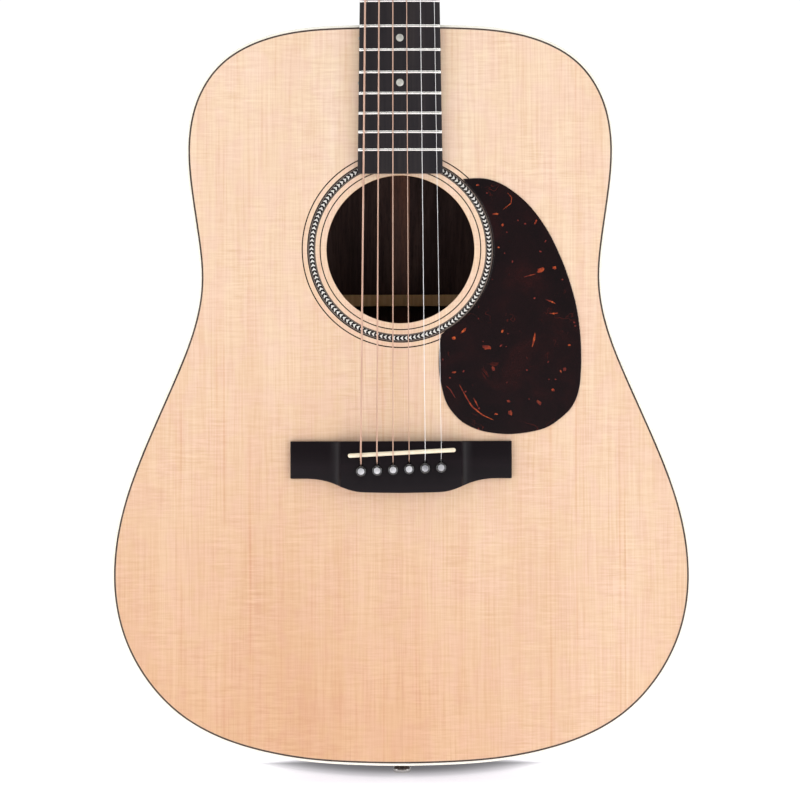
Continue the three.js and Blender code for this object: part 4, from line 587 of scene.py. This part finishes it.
# ------------------------------------------------------------------ bridge, saddle and pins
def belly(x):
    a = abs(x); pts = [(0, -675.4), (14, -675.25), (27, -674.95), (33, -674.1), (39, -672.0), (45, -669.4), (51, -667.3), (58, -666.0), (64, -665.7), (75.4, -665.7)]
    xs, zs = zip(*pts); i = np.interp(a, xs, zs)
    # Rounds the corners of the table.
    return float(np.mean([np.interp(abs(a + d), xs, zs) for d in np.linspace(-3, 3, 9)])) if a < 70 else float(i)
COVE = 2 * math.atan((BRIDGE_T - BRIDGE_WING_T) / 9)
def bridge_t(x):  # a round cove rises from each wing to a sharp edge of the block
    a = abs(x); r = 9 / math.sin(COVE)
    if a >= 50: return BRIDGE_WING_T
    if a <= 41: return BRIDGE_T
    return BRIDGE_WING_T + r - math.sqrt(r * r - (50 - a) ** 2)
def bridge():
    xs = sorted(set([-75.4, -75.3, -75.0, -74.6] + list(np.arange(-72, 73, 3.0)) + [s * v for s in (1, -1) for v in np.arange(41.0, 50.6, 0.5)] + [s * v for s in (1, -1) for v in (40.7, 41.001)] + [75.4, 75.3, 75.0, 74.6]))
    rings = []
    for x in xs:
        e = max(0.0, 0.75 - (75.4 - abs(x))) if abs(x) > 74.6 else 0.0
        drop = 0.75 - math.sqrt(max(0, 0.75**2 - e**2))
        t, z0, z1, r = bridge_t(x) - drop, belly(x) + drop * 0.5, -640.2 - drop * 0.3, 0.8
        ring = [(x, -0.03, z0), (x, -0.03, z1)]
        ring += [(x, -t + r - r * math.sin(a), z1 - r + r * math.cos(a)) for a in np.linspace(0, math.pi / 2, 5)]
        ring += [(x, -t + r - r * math.cos(a), z0 + r - r * math.sin(a)) for a in np.linspace(0, math.pi / 2, 5)]
        rings.append(ring)
    v, f = loft(rings)
    o = make("bridge_body", v, f, [m_ebony_x], replaces=("bridge",), slot="ebony", angle=40)
    # Holes for the pins, with a short slot for each string.
    parts = []
    for x, z in PINS:
        parts.append(moved(lathe([(0, -14), (3.3, -14), (3.3, 3), (0, 3)], 32), Matrix.Translation((x, 0, z))))
        parts.append(([(x + a, y, z + b) for a, b, y in ((-1.05, 0, -14), (1.05, 0, -14), (1.05, 6.4, -14), (-1.05, 6.4, -14), (-1.05, 0, -4.4), (1.05, 0, -4.4), (1.05, 4.4, -4.4), (-1.05, 4.4, -4.4))],
                      [(0, 1, 2, 3), (7, 6, 5, 4), (0, 4, 5, 1), (1, 5, 6, 2), (2, 6, 7, 3), (3, 7, 4, 0)]))
    for n, p in enumerate(parts):
        me = bpy.data.meshes.new("cutter"); me.from_pydata([tuple(c / 1000 for c in q) for q in p[0]], [], p[1]); me.update()
        bm = bmesh.new(); bm.from_mesh(me); bmesh.ops.recalc_face_normals(bm, faces=bm.faces); bm.to_mesh(me); bm.free()
        c = bpy.data.objects.new("cutter", me); scene.collection.objects.link(c)
        mod = o.modifiers.new("cut", "BOOLEAN"); mod.operation = "DIFFERENCE"; mod.object = c; mod.solver = "EXACT"
        dg = bpy.context.evaluated_depsgraph_get(); new = bpy.data.meshes.new_from_object(o.evaluated_get(dg))
        o.modifiers.remove(mod); o.data = new; bpy.data.objects.remove(c); bpy.data.meshes.remove(me)
    return o
bridge()
turn = -math.atan(0.0517)
def saddle():
    L, W = 73.4 / 2, 2.9 / 2
    def stadium(l, w, n=12): return [(l - w + w * math.cos(a), w * math.sin(a)) for a in np.linspace(-math.pi / 2, math.pi / 2, n)] + [(-l + w - w * math.cos(a), -w * math.sin(a)) for a in np.linspace(-math.pi / 2, math.pi / 2, n)]
    crown = lambda x: 0.9 * (x / L) ** 2
    rings = [[(x, -3.0, z) for x, z in stadium(L, W)]]
    for d, up in ((0, -SADDLE_TOP + 1.3), (0.12, -SADDLE_TOP + 0.75), (0.45, -SADDLE_TOP + 0.25), (0.9, -SADDLE_TOP)):
        rings.append([(x, up + crown(x), z) for x, z in stadium(L - d, W - d)])
    v, f = loft(rings)
    M = Matrix.Translation((0.5, 0, saddle_z(0.5))) @ Matrix.Rotation(turn, 4, "Y")
    make("saddle_bar", v, f, [m_bone], replaces=("saddle",), slot="bone", matrix=M, angle=60)
saddle()
for k, (x, z) in enumerate(PINS, 1):
    top = -BRIDGE_T - 0.05 - 0.15
    prof = [(0, 19), (1.6, 19), (2.2, 18), (2.75, top + 0.1), (2.9, top), (3.35, top - 0.1), (3.66, top - 0.5), (3.72, top - 0.95), (3.58, top - 1.45), (3.2, top - 1.85), (2.75, top - 2.15), (2.2, top - 2.42)]
    dome = [(2.2, top - 2.42), (2.1, top - 2.5), (1.6, top - 2.76), (0.9, top - 2.94), (0, top - 3.0)]
    a, b = lathe(prof, 40), lathe(dome, 40)
    V, F, I = merge((a[0], a[1], 0), (b[0], b[1], 1))
    # A flute down the pin, on the saddle's side, for the string.
    V = [(p[0], p[1], (min(p[2], 1.35) if (abs(p[0]) < 1.05 and p[2] > 0 and p[1] > top) else p[2])) for p in V]
    make(f"pin_turned_{k}", V, F, [m_pin, m_dot], I, body=f"pin_{k}", replaces=(f"bridge_pin_{k}",), slot="black_plastic", matrix=Matrix.Translation((x, 0, z)), angle=40)

# ------------------------------------------------------------------ neck, fretboard, frets, nut
def smooth01(a, b, v): s = min(1.0, max(0.0, (v - a) / (b - a))); return s * s * (3 - 2 * s)
HEEL_Y = 98.6; CAP_T = 2.4
HP = [(-285, 0), (-292, 0.25), (-302, 2.0), (-311, 7), (-317, 14), (-322, 25), (-326, 40), (-329.5, 58), (-332.5, 76), (-334.5, HEEL_Y - 17.6)]
def heel_extra(z):
    xs = [-p[0] for p in HP]; ys = [p[1] for p in HP]
    return float(np.interp(-z, xs, ys))
def neck_ring(z, M=22):
    w = fb_half(min(0, z)) - 0.05; extra = heel_extra(z); shaft = 15.0 + 2.6 * min(1, -z / 300)
    # The round shaft squares off over the last couple of centimetres, into the headstock.
    sq = smooth01(-30, 2, z); w += 0.55 * sq; shaft -= 0.8 * sq
    d = shaft + extra - (CAP_T if extra > 60 else CAP_T * extra / 60)
    s = smooth01(0, 45, extra); ring = []
    def one(i):
        a = math.pi / 2 * i / M; nx = w * max(0, math.cos(a)) ** (0.82 * (1 - 0.76 * sq)); ny = d * math.sin(a) ** (0.95 * (1 - 0.72 * sq))
        v = i / M; hy = d * min(1, v * 1.08); cap = 13.2 + 3.0 * smooth01(40, 0, extra) if extra < 40 else 13.2
        hx = cap + (w - cap) * (1 - min(1, hy / d)) ** 2.4 if i else w
        if i == M: hx *= 0.82
        return nx * (1 - s) + hx * s, ny * (1 - s) + hy * s
    P = [one(i) for i in range(M + 1)]
    face = (z - HEAD_Z0) * math.tan(HEAD_TILT) + 0.15 if z > HEAD_Z0 else 0.0  # behind the headstock's face
    ring = [(max(x, 0.0), max(y, face), z) for x, y in P]
    return ring + [(-x, y, zz) for x, y, zz in ring[::-1][(1 if P[-1][0] < 1e-6 else 0):]]
def neck():
    zs = [14, 11, 8, 6, 3, 0, -4, -8, -12, -16, -20, -24, -28, -34] + list(np.arange(-40, -281, -20)) + [-288] + list(np.arange(-292, -336, -1.6)) + [-340, -348, BODY_MID_Z + 256.3 + 0.25]
    rings = [neck_ring(z) for z in zs]
    m = min(len(r) for r in rings)
    def fix(r): return r if len(r) == m else r[: m // 2 + 1] + r[m // 2 + 2:] if len(r) == m + 1 else r
    full = max(len(r) for r in rings)
    out = []
    for r in rings:
        if len(r) < full: k = len(r) // 2; r = r[:k + 1] + [r[k]] + r[k + 1:]
        out.append(r)
    a = loft(out)
    head = head_slab(-HEAD_WOOD, 0.02, 1.2, 1.0)
    V, F, _ = merge(a, head)
    make("neck_carved", V, F, [m_maho], replaces=("neck",), slot="mahogany", angle=48)
    # Heel cap.
    z1 = BODY_MID_Z + 256.3 + 0.25
    prof = [(10.9, z1), (10.9, -341.0), (10.2, -337.8), (8.6, -335.8), (6.0, -334.8), (0, -334.6)]
    plan = prof + [(-x, z) for x, z in prof[::-1][1:]]
    rr = [[(x * (1 - i * 0.02), HEEL_Y - CAP_T + dy, z if z == z1 else z - i * 0.12) for x, z in plan] for i, dy in ((0, 0.0), (0, CAP_T - 0.4), (1, CAP_T - 0.12), (2.2, CAP_T))]
    v, f = loft(rr); make("heel_cap", v, f, [m_binding], slot="binding", angle=40)
HEAD_HALF = [(22.2, 1.2), (22.25, 3), (22.6, 5.5), (23.4, 8.5), (24.7, 11.5), (26.6, 14.8), (28.4, 18), (29.6, 22), (30.2, 28), (34.0, 110), (36.4, HEAD_L - 12), (36.5, HEAD_L - 9), (36.0, HEAD_L - 6), (34.8, HEAD_L - 3.6), (32.5, HEAD_L - 2), (24, HEAD_L - 1.0), (12, HEAD_L - 0.2), (0, HEAD_L)]
def head_slab(o0, o1, r0, r1, low=None):
    """The headstock's plan between two distances out of its face, with rounded rims."""
    plan = [(x, u) for x, u in HEAD_HALF] + [(-x, u) for x, u in HEAD_HALF[::-1][1:]]
    if low is not None: plan = [(x, max(u, low)) for x, u in plan]
    P = np.array(plan); t = np.roll(P, -1, 0) - np.roll(P, 1, 0); t /= np.linalg.norm(t, axis=1)[:, None]; nr = np.stack([t[:, 1], -t[:, 0]], 1)
    ar = 0.5 * np.sum(P[:, 0] * np.roll(P[:, 1], -1) - np.roll(P[:, 0], -1) * P[:, 1]); nr = -nr if ar > 0 else nr
    rings = []
    for d, o in [(r0 * (1 - math.sin(a)), o0 + r0 * (1 - math.cos(a))) for a in np.linspace(0, math.pi / 2, 4)] + [(r1 * (1 - math.cos(a)), o1 - r1 * (1 - math.sin(a))) for a in np.linspace(0, math.pi / 2, 4)]:
        Q = P + nr * d
        rings.append([tuple(HEAD_M @ Vector((q[0], o, -q[1]))) for q in Q])
    return loft(rings)
neck()
v, f = head_slab(0.05, HEADPLATE_T, 0.05, 0.35)
make("headplate_veneer", v, f, [m_rose_head], replaces=("headplate",), slot="rosewood", angle=40)

def board_y(x): return -FB_T + x * x / (2 * FB_RADIUS)
def fretboard():
    n = 16; rings = []
    for z in [0.0, -0.3] + list(np.linspace(-1, FB_END + 1, 40)) + [FB_END + 0.3, FB_END]:
        w = fb_half(z); ring = [(w, -0.03, z), (w, board_y(w) + 0.45, z), (w - 0.13, board_y(w) + 0.13, z)]
        ring += [(w - 0.45 - (2 * w - 0.9) * i / n, board_y(w - 0.45 - (2 * w - 0.9) * i / n), z) for i in range(n + 1)]
        ring += [(-w + 0.13, board_y(w) + 0.13, z), (-w, board_y(w) + 0.45, z), (-w, -0.03, z)]
        rings.append(ring)
    v, f = loft(rings)
    make("fretboard_ebony", v, f, [m_ebony], replaces=("fretboard",), slot="ebony", angle=50)
    V, F = [], []
    for k in range(1, FRETS + 1):
        z = fret_z(k); w = fb_half(z) - 0.1; rings = []
        for i in range(19):
            s = -1 + 2 * i / 18; x = w * s
            e = min(1.0, (1 - abs(s)) * w / 1.1); hgt = 1.0 * math.sqrt(max(0.02, 1 - (1 - e) ** 2)); base = board_y(x)
            rings.append([(x, base + 0.25, z + 1.0)] + [(x, base - hgt * math.sin(a), z + 1.0 * math.cos(a)) for a in np.linspace(0.12, math.pi - 0.12, 9)] + [(x, base + 0.25, z - 1.0)])
        a, b = loft(rings); m = len(V); V += a; F += [tuple(c + m for c in q) for q in b]
    make("frets_crowned", V, F, [m_fret], angle=50, slot="steel")
    V, F = [], []
    def disc(x, y, z, r, axis="Y"):
        a, b = lathe([(0, -0.03), (r - 0.1, -0.03), (r, 0.05), (r, 0.5), (0, 0.5)], 32)
        M = Matrix.Translation((x, y, z)) @ (Matrix.Rotation(math.radians(90), 4, "Z") if axis == "X" else Matrix.Identity(4))
        m = len(V); V.extend([tuple(M @ Vector(p)) for p in a]); F.extend([tuple(c + m for c in q) for q in b])
    for k in (3, 5, 7, 9, 12, 15, 17):
        z = (fret_z(k - 1) + fret_z(k)) / 2
        for x in ((-9.5, 9.5) if k == 12 else (0.0,)): disc(x, board_y(x), z, 2.6 if k != 12 else 2.6)
        for dz in ((-3, 3) if k == 12 else (0,)):
            disc(-fb_half(z), -3.4, z + dz, 1.0, "X")
    make("position_dots", V, F, [m_pearl], angle=50, slot="bone")
fretboard()

def stock(node, material, width=0.3, seg=2, ang=35, slot=None):
    o = NODES[node]; me = o.data
    if len(me.materials) == 0: me.materials.append(material)
    for i in range(len(o.material_slots)): o.material_slots[i].material = material
    if width: bevel(o, width, seg, ang)
stock("nut", m_bone, 0.35, 3)
for n, m in (("neck_block", m_maho_in), ("tail_block", m_maho_in), ("bridge_plate", m_maple), ("back_seam_strip", m_maho), ("lining_top_treble", m_maple), ("lining_top_bass", m_maple),
             ("lining_back_treble", m_maple), ("lining_back_bass", m_maple), ("x_brace_bass", m_brace), ("x_brace_treble", m_brace), ("transverse_brace", m_brace), ("tone_bar_upper", m_brace),
             ("tone_bar_lower", m_brace), ("back_brace_1", m_brace), ("back_brace_2", m_brace), ("back_brace_3", m_brace), ("back_brace_4", m_brace)):
    stock(n, m, 0.6 if "brace" in n or "bar" in n else 0.3)
stock("truss_rod", m_steel, 0.2); stock("truss_rod_nut", m_steel, 0.25)

# ------------------------------------------------------------------ strings
for k in range(6):
    r = STRING_R[k]; px, pz = PINS[k]; s, X, U = post_at(k + 1)
    ys = -SADDLE_TOP - r - 0.12; sz, sx, nx = saddle_z(string_x(k, -648)), string_x(k, -648), string_x(k, 0)
    crown = 0.9 * (sx / 36.7) ** 2
    end = H(X - s * (POST_R + 0.25 + r), HEADPLATE_T + 6.0, U)
    low = smooth_path([(px, 8.2, pz + 3.1), (px, 5.4, pz + 2.35), (px, -3.6, pz + 2.3), (px, -5.6, pz + 2.75), (px, -7.4, pz + 3.75), (px, -8.9, pz + 5.1), (sx, ys + 0.3, sz - 1.6), (sx, ys, sz), (sx, ys + 0.04, sz + 1.6)], 0.5)
    high = smooth_path([(nx, NUT_Y, -1.0), (nx, NUT_Y, 0.6), (nx, NUT_Y + 0.12, 2.4), tuple(Vector((nx, NUT_Y + 0.12, 2.4)).lerp(end, 0.1)), tuple(end)], 0.5)
    a = tube(low + high, r, 12)
    ball = moved(lathe([(0, -1.7), (0.7, -1.7), (1.5, -1.55), (1.9, -1.1), (1.75, 0), (1.9, 1.1), (1.5, 1.55), (0.7, 1.7), (0, 1.7)], 24), Matrix.Translation((px, 8.3, pz + 4.7)) @ Matrix.Rotation(math.pi / 2, 4, "Z"))
    V, F, I = merge((a[0], a[1], 0), (ball[0], ball[1], 1))
    make(f"string_wire_{k + 1}", V, F, [m_steel if k < 2 else m_wound, m_nickel], I, replaces=(f"string_{k + 1}",), slot="steel" if k < 2 else "bronze", angle=70)

# ------------------------------------------------------------------ tuning machines
def helix(r, o0, o1, turns, wire, start):
    n = int(turns * 28); P = []
    for i in range(n + 1):
        a = start + 2 * math.pi * turns * i / n; P.append(Vector((r * math.cos(a), o0 + (o1 - o0) * i / n, r * math.sin(a))))
    rings = []
    for i, p in enumerate(P):
        t = (P[min(i + 1, n)] - P[max(i - 1, 0)]).normalized(); w = t.cross(Vector((0, 1, 0))).normalized(); u = w.cross(t).normalized()
        rings.append([tuple(p + wire * (math.cos(2 * math.pi * j / 8) * u + math.sin(2 * math.pi * j / 8) * w)) for j in range(8)])
    return loft(rings)
def gear():
    q = math.pi / GEAR_TEETH; tw = GEAR_W * PITCH / (2 * math.pi * WORM_R) / GEAR_R
    def ring(y, turn, cut=0.0):
        out = []
        for i in range(GEAR_TEETH):
            c = 2 * math.pi * i / GEAR_TEETH + turn
            for r, a in ((GEAR_ROOT, -0.8), (GEAR_ROOT, -0.5), ((GEAR_ROOT + GEAR_OUT) / 2, -0.38), (GEAR_OUT - cut, -0.22), (GEAR_OUT - cut, 0.22), ((GEAR_ROOT + GEAR_OUT) / 2, 0.38), (GEAR_ROOT, 0.5), (GEAR_ROOT, 0.8)):
                out.append((r * math.cos(c + a * q), y, r * math.sin(c + a * q)))
        return out
    h = GEAR_W / 2
    return loft([ring(-h, tw / 2, 0.25), ring(-h + 0.25, tw / 2 * 0.82), ring(h - 0.25, -tw / 2 * 0.82), ring(h, -tw / 2, 0.25)])
def worm():
    per = 24; n = int(WORM_TURNS * per); rings = []
    for i in range(n + 1):
        a = 2 * math.pi * i / per; u = PITCH * (i / per - WORM_TURNS / 2); c, s = math.cos(a), math.sin(a)
        e = min(1.0, i / 8, (n - i) / 8); ro = WORM_ROOT - 0.2 + (WORM_OUT - WORM_ROOT + 0.2) * e
        rings.append([(u + du, r * c, r * s) for r, du in ((WORM_ROOT - 0.35, -0.62), (ro, -0.26), (ro, 0.26), (WORM_ROOT - 0.35, 0.62))])
    return loft(rings)
for k in range(1, 7):
    s, X, U = post_at(k); r = STRING_R[k - 1]
    back_o, front = GEAR_AT - GEAR_W / 2, HEADPLATE_T + POST_UP
    prof = [(0, back_o - 1.2), (1.9, back_o - 1.2), (2.2, back_o - 0.9), (2.2, back_o), (2.8, back_o + 0.02), (2.8, GEAR_AT + GEAR_W / 2 + 0.15), (POST_R, GEAR_AT + GEAR_W / 2 + 0.2), (POST_R, HEADPLATE_T + 3.0),
            (POST_R - 0.25, HEADPLATE_T + 3.6), (POST_R - 0.3, HEADPLATE_T + 8.6), (POST_R, HEADPLATE_T + 9.3), (POST_R, front - 0.9), (POST_R - 0.3, front - 0.3), (POST_R - 0.9, front), (0, front + 0.0)]
    post = lathe(prof, 32); g = moved(gear(), Matrix.Translation((0, GEAR_AT, 0)))
    hole = moved(lathe([(0, 0), (0.95, 0), (0.95, 0.02), (0, 0.02)], 16), Matrix.Translation((0, HEADPLATE_T + 7.6, 0)))
    parts = [(post[0], post[1], 0), (g[0], g[1], 0)]
    # The string hole mouths and the screw slot at the back are dark discs and a dark bar on the surface: painted shade
    # in place of cut holes and a cut slot.
    for d in (1, -1):  # string hole mouths and the screw slot at the back
        hm = moved(lathe([(0, 0.03), (0.8, 0.03), (0.95, 0.0), (0.95, -0.4), (0, -0.4)], 16), Matrix.Translation((0, HEADPLATE_T + 7.6, d * (POST_R - 0.28))) @ Matrix.Rotation(d * math.pi / 2, 4, "X"))
        parts.append((hm[0], hm[1], 1))
    sl = ([(a, back_o - 1.22 + b, c) for a in (-1.7, 1.7) for b in (0, 0.3) for c in (-0.3, 0.3)], [(0, 1, 3, 2), (4, 6, 7, 5), (0, 2, 6, 4), (1, 5, 7, 3), (0, 4, 5, 1), (2, 3, 7, 6)])
    parts.append((sl[0], sl[1], 1))
    V, F, I = merge(*parts)
    M = HEAD_M @ Matrix.Translation((X, 0, -U))
    make(f"post_and_gear_{k}", V, F, [m_nickel, m_painted_hole_shade], I, body=f"post_{k}", replaces=(f"tuner_post_{k}",), slot="nickel", matrix=M, angle=38)
    turns = 3.2 if k > 2 else 5.2
    hx = helix(POST_R + 0.25 + r - 0.28, HEADPLATE_T + 6.0, HEADPLATE_T + 6.0 - max(2.0, 2.05 * r * turns), turns, r, math.pi if s > 0 else 0.0)
    w = [HEAD_M @ Matrix.Translation((X, 0, -U))]
    make(f"winding_{k}", hx[0], hx[1], [m_steel if k < 3 else m_wound], body=f"post_{k}", slot="steel" if k < 3 else "bronze", matrix=w[0], angle=70)
    # Worm, shaft and button.
    out_x = 35.0 + 6.5 - abs(X); wm = worm(); sx = lambda a: (a * s)
    rod = [(0, -8.2), (1.2, -8.2), (1.5, -7.9), (1.5, out_x - 1.4), (2.3, out_x - 1.0), (2.9, out_x - 0.2), (3.1, out_x + 0.8), (2.7, out_x + 1.7), (2.1, out_x + 2.1), (2.1, out_x + 3.2), (0, out_x + 3.2)]
    rd = moved(lathe(rod, 28), Matrix.Rotation(-math.pi / 2 if s > 0 else math.pi / 2, 4, "Z"))
    # The button is an oval slab with a crowned face and rounded rim.
    bx = s * (out_x + 9.5); rings = []
    for sc, h in ((0.0, -2.95), (0.45, -2.93), (0.75, -2.82), (0.9, -2.55), (0.97, -2.1), (1.0, -1.4), (1.0, 1.4), (0.97, 2.1), (0.9, 2.55), (0.75, 2.82), (0.45, 2.93), (0.0, 2.95)):
        rings.append([(bx + 8.2 * max(sc, 0.01) * math.cos(2 * math.pi * j / 48), h, 10.2 * max(sc, 0.01) * math.sin(2 * math.pi * j / 48)) for j in range(48)])
    bt = moved(loft(rings), Matrix.Rotation(math.pi / 2, 4, "X"))
    V, F, _ = merge(wm, rd, bt)
    make(f"worm_and_button_{k}", V, F, [m_nickel], body=f"button_{k}", replaces=(f"tuner_button_{k}",), slot="nickel", matrix=HEAD_M @ Matrix.Translation((X, GEAR_AT, -(U + WORM_DIST))), angle=42)
    # Bushing in the headplate.
    b = lathe([(3.45, HEADPLATE_T - 1.0), (3.45, HEADPLATE_T + 1.15), (3.7, HEADPLATE_T + 1.3), (4.5, HEADPLATE_T + 1.25), (4.9, HEADPLATE_T + 0.9), (5.3, HEADPLATE_T + 0.25), (5.4, HEADPLATE_T - 0.02)], 40)
    make(f"bushing_{k}", b[0], b[1], [m_nickel], slot="nickel", matrix=M, angle=40)
for s, node in ((1, "tuner_plate_treble"), (-1, "tuner_plate_bass")):
    stock(node, m_nickel, 0.3, 2, 40)
    V, F, I = [], [], []
    x0 = 13.2 + 8.5
    for up in (36.4, 57.0, 97.0, 135.8):
        for dx in ((-5.8, 5.8) if up in (36.4, 135.8) else (-5.8,)):
            hd = lathe([(1.75, 0.0), (1.7, -0.35), (1.3, -0.72), (0.6, -0.9), (0, -0.93)], 20)
            # Each screw's slot is a dark bar set into its head: painted shade in place of a cut slot.
            sl = ([(a, b, c) for a in (-1.25, 1.25) for b in (-0.97, -0.6) for c in (-0.17, 0.17)], [(0, 1, 3, 2), (4, 6, 7, 5), (0, 2, 6, 4), (1, 5, 7, 3), (0, 4, 5, 1), (2, 3, 7, 6)])
            m = Matrix.Translation((s * (x0 + dx), -HEAD_WOOD - 0.05 - PLATE_T, -up)) @ Matrix.Rotation(up + dx, 4, "Y")
            for p, mi in ((hd, 0), (sl, 1)):
                n = len(V); V += [tuple(m @ Vector(q)) for q in p[0]]; F += [tuple(c + n for c in q) for q in p[1]]; I += [mi] * len(p[1])
    make("plate_screws_" + ("treble" if s > 0 else "bass"), V, F, [m_nickel, m_painted_hole_shade], I, slot="nickel", matrix=HEAD_M, angle=40)

# ------------------------------------------------------------------ end pin and tail graft
TAIL_Z, PIN_Y = BODY_MID_Z - 249.5, 62
ep = lathe([(0, 30), (4.1, 30), (5.1, -0.3), (6.1, -0.35), (6.35, -0.7), (6.35, -1.7), (6.1, -2.1), (5.2, -2.6), (4.5, -3.4), (4.3, -5.0), (4.6, -6.6), (5.6, -8.2), (6.3, -9.2), (6.45, -10.2), (6.3, -11.2), (5.9, -11.8), (5.2, -12.15), (0, -12.2)], 48)
make("strap_pin", ep[0], ep[1], [m_nickel], replaces=("end_pin",), slot="nickel", matrix=Matrix.Translation((0, PIN_Y, TAIL_Z)) @ Matrix.Rotation(math.pi / 2, 4, "X"), angle=45)
def graft():
    V, F, I = [], [], []
    y0, y1 = B + 0.2, back_y(0, TAIL_Z) - B - 0.2
    def half(y): return 5.0 + 6.0 * (y - y0) / (y1 - y0)
    rows = 14
    for i in range(rows):
        ya, yb = y0 + (y1 - y0) * i / rows, y0 + (y1 - y0) * (i + 1) / rows
        cols = lambda y: [-half(y), -half(y) + 0.5, -half(y) + 1.0, half(y) - 1.0, half(y) - 0.5, half(y)]
        A, Bc = cols(ya), cols(yb)
        for j, m in enumerate((1, 2, 0, 2, 1)):
            sub = 8 if j == 2 else 1
            for q in range(sub):
                a0, a1 = A[j] + (A[j + 1] - A[j]) * q / sub, A[j] + (A[j + 1] - A[j]) * (q + 1) / sub
                b0, b1 = Bc[j] + (Bc[j + 1] - Bc[j]) * q / sub, Bc[j] + (Bc[j + 1] - Bc[j]) * (q + 1) / sub
                zf = lambda x: TAIL_Z + 0.000275 * x * x - 0.05
                n = len(V); V.extend([(a0, ya, zf(a0)), (a1, ya, zf(a1)), (b1, yb, zf(b1)), (b0, yb, zf(b0))]); F.append((n, n + 1, n + 2, n + 3)); I.append(m)
    make("tail_graft", V, F, [m_rose, m_black, m_white], I, slot="rosewood")
graft()

# ------------------------------------------------------------------ stage, light and camera
def stage():
    # A pale floor, level with the tail, with a contact shadow painted into it; the room beyond it is white.
    z0 = -0.8765; xs, ys = np.linspace(-5, 5, 41), np.linspace(-5, 5, 41)
    V = [(float(x), float(y), z0) for y in ys for x in xs]; F = [(j * 41 + i, j * 41 + i + 1, j * 41 + i + 42, j * 41 + i + 41) for j in range(40) for i in range(40)]
    me = bpy.data.meshes.new("pale_floor"); me.from_pydata(V, [], F); me.polygons.foreach_set("use_smooth", [True] * len(F)); me.update()
    o = bpy.data.objects.new("pale_floor", me); scene.collection.objects.link(o)
    M = Mat("pale_floor", rough=0.9, spec=0.1)
    # The glow is tinted faintly violet, a painted tint for the shadow.
    M.b.inputs["Emission Color"].default_value = (0.985, 0.955, 1.0, 1)
    # The floor glows, so it stays white, and a soft contact shadow is painted into it: near the guitar its colour turns
    # dark grey and its glow drops, darkest under the tail and gone a few centimetres in front of it and beside it.
    x, y, z = M.sep(M.coords())
    t = M.math("SUBTRACT", y, M.math("MULTIPLY", M.math("MULTIPLY", x, x), 7.3))
    behind = M.math("MULTIPLY", M.math("MAXIMUM", M.math("SUBTRACT", y, 0.135), 0.0), 2.6)
    t = M.math("SUBTRACT", t, behind)
    at = lambda m: (m - 0.03) / 0.09
    f = M.math("DIVIDE", M.math("SUBTRACT", t, 0.03), 0.09, clamp=True)
    # Painted shadow: the glow falls off towards the guitar.
    painted_shadow_glow = M.ramp(f, [(0.0, 1.0), (at(0.0395), 1.0), (at(0.0503), 0.93), (at(0.0612), 0.686), (at(0.0722), 0.54), (at(0.0833), 0.37), (at(0.0946), 0.226), (at(0.1063), 0.153), (1.0, 0.119)])
    # Painted shadow: the floor's own colour darkens towards the guitar.
    M.color(M.ramp(f, [(0.0, (0.95, 0.95, 0.955, 1)), (0.22, (0.62, 0.62, 0.63, 1)), (0.55, (0.17, 0.17, 0.18, 1)), (1.0, (0.08, 0.08, 0.09, 1))]))
    M.put(M.b.inputs["Emission Strength"], M.math("MULTIPLY", painted_shadow_glow, GLOW))
    me.materials.append(M.m)
GLOW = 0.85
stage()
def area(name, loc, target, size, power, size_y=None, color=(1, 1, 1)):
    d = bpy.data.lights.new(name, "AREA"); d.energy = power; d.size = size; d.color = color
    if size_y: d.shape = "RECTANGLE"; d.size_y = size_y
    o = bpy.data.objects.new(name, d); scene.collection.objects.link(o); o.location = loc
    o.rotation_euler = (Vector(target) - Vector(loc)).to_track_quat("-Z", "Y").to_euler()
    return o
area("key_left", (-1.9, -1.9, 0.35), (0, 0, -0.5), 1.3, 10.6, 1.5)
area("key_right", (1.9, -1.9, 0.35), (0, 0, -0.5), 1.3, 12.2, 1.5)
area("strip_left", (-1.3, -0.30, -0.45), (0, 0, -0.6), 0.6, 6.6, 1.3)
area("strip_right", (1.3, -0.30, -0.45), (0, 0, -0.6), 0.6, 7.2, 1.3)
area("top_soft", (0, -0.3, 1.6), (0, 0.1, -0.6), 2.2, 27, 1.4)
area("back_left", (-1.5, 2.0, 0.5), (0, 0.1, -0.5), 2.2, 22, 2.0)
area("back_right", (1.7, 1.8, 0.2), (0, 0.1, -0.5), 1.6, 12, 2.0)
ROOM = 0.27
w = bpy.data.worlds.new("soft_room"); scene.world = w; w.use_nodes = True
nt = w.node_tree; bg = nt.nodes["Background"]; bg.inputs["Color"].default_value = (1, 1, 1, 1)
lp = nt.nodes.new("ShaderNodeLightPath"); st = nt.nodes.new("ShaderNodeMapRange"); st.inputs["To Min"].default_value = ROOM; st.inputs["To Max"].default_value = 1.05
nt.links.new(lp.outputs["Is Camera Ray"], st.inputs["Value"]); nt.links.new(st.outputs["Result"], bg.inputs["Strength"])
cam = bpy.data.cameras.new("camera"); co = bpy.data.objects.new("camera", cam); scene.collection.objects.link(co)
DIST = 2.0
cam.sensor_width = 36; cam.lens = 36 * DIST / (800 * 0.000682); cam.clip_end = 50
co.location = (-0.0006, -DIST, BODY_MID_Z / 1000); co.rotation_euler = (math.pi / 2, math.radians(0.17), 0)
scene.camera = co
scene.view_settings.view_transform = "Standard"
scene.view_settings.look = "None"
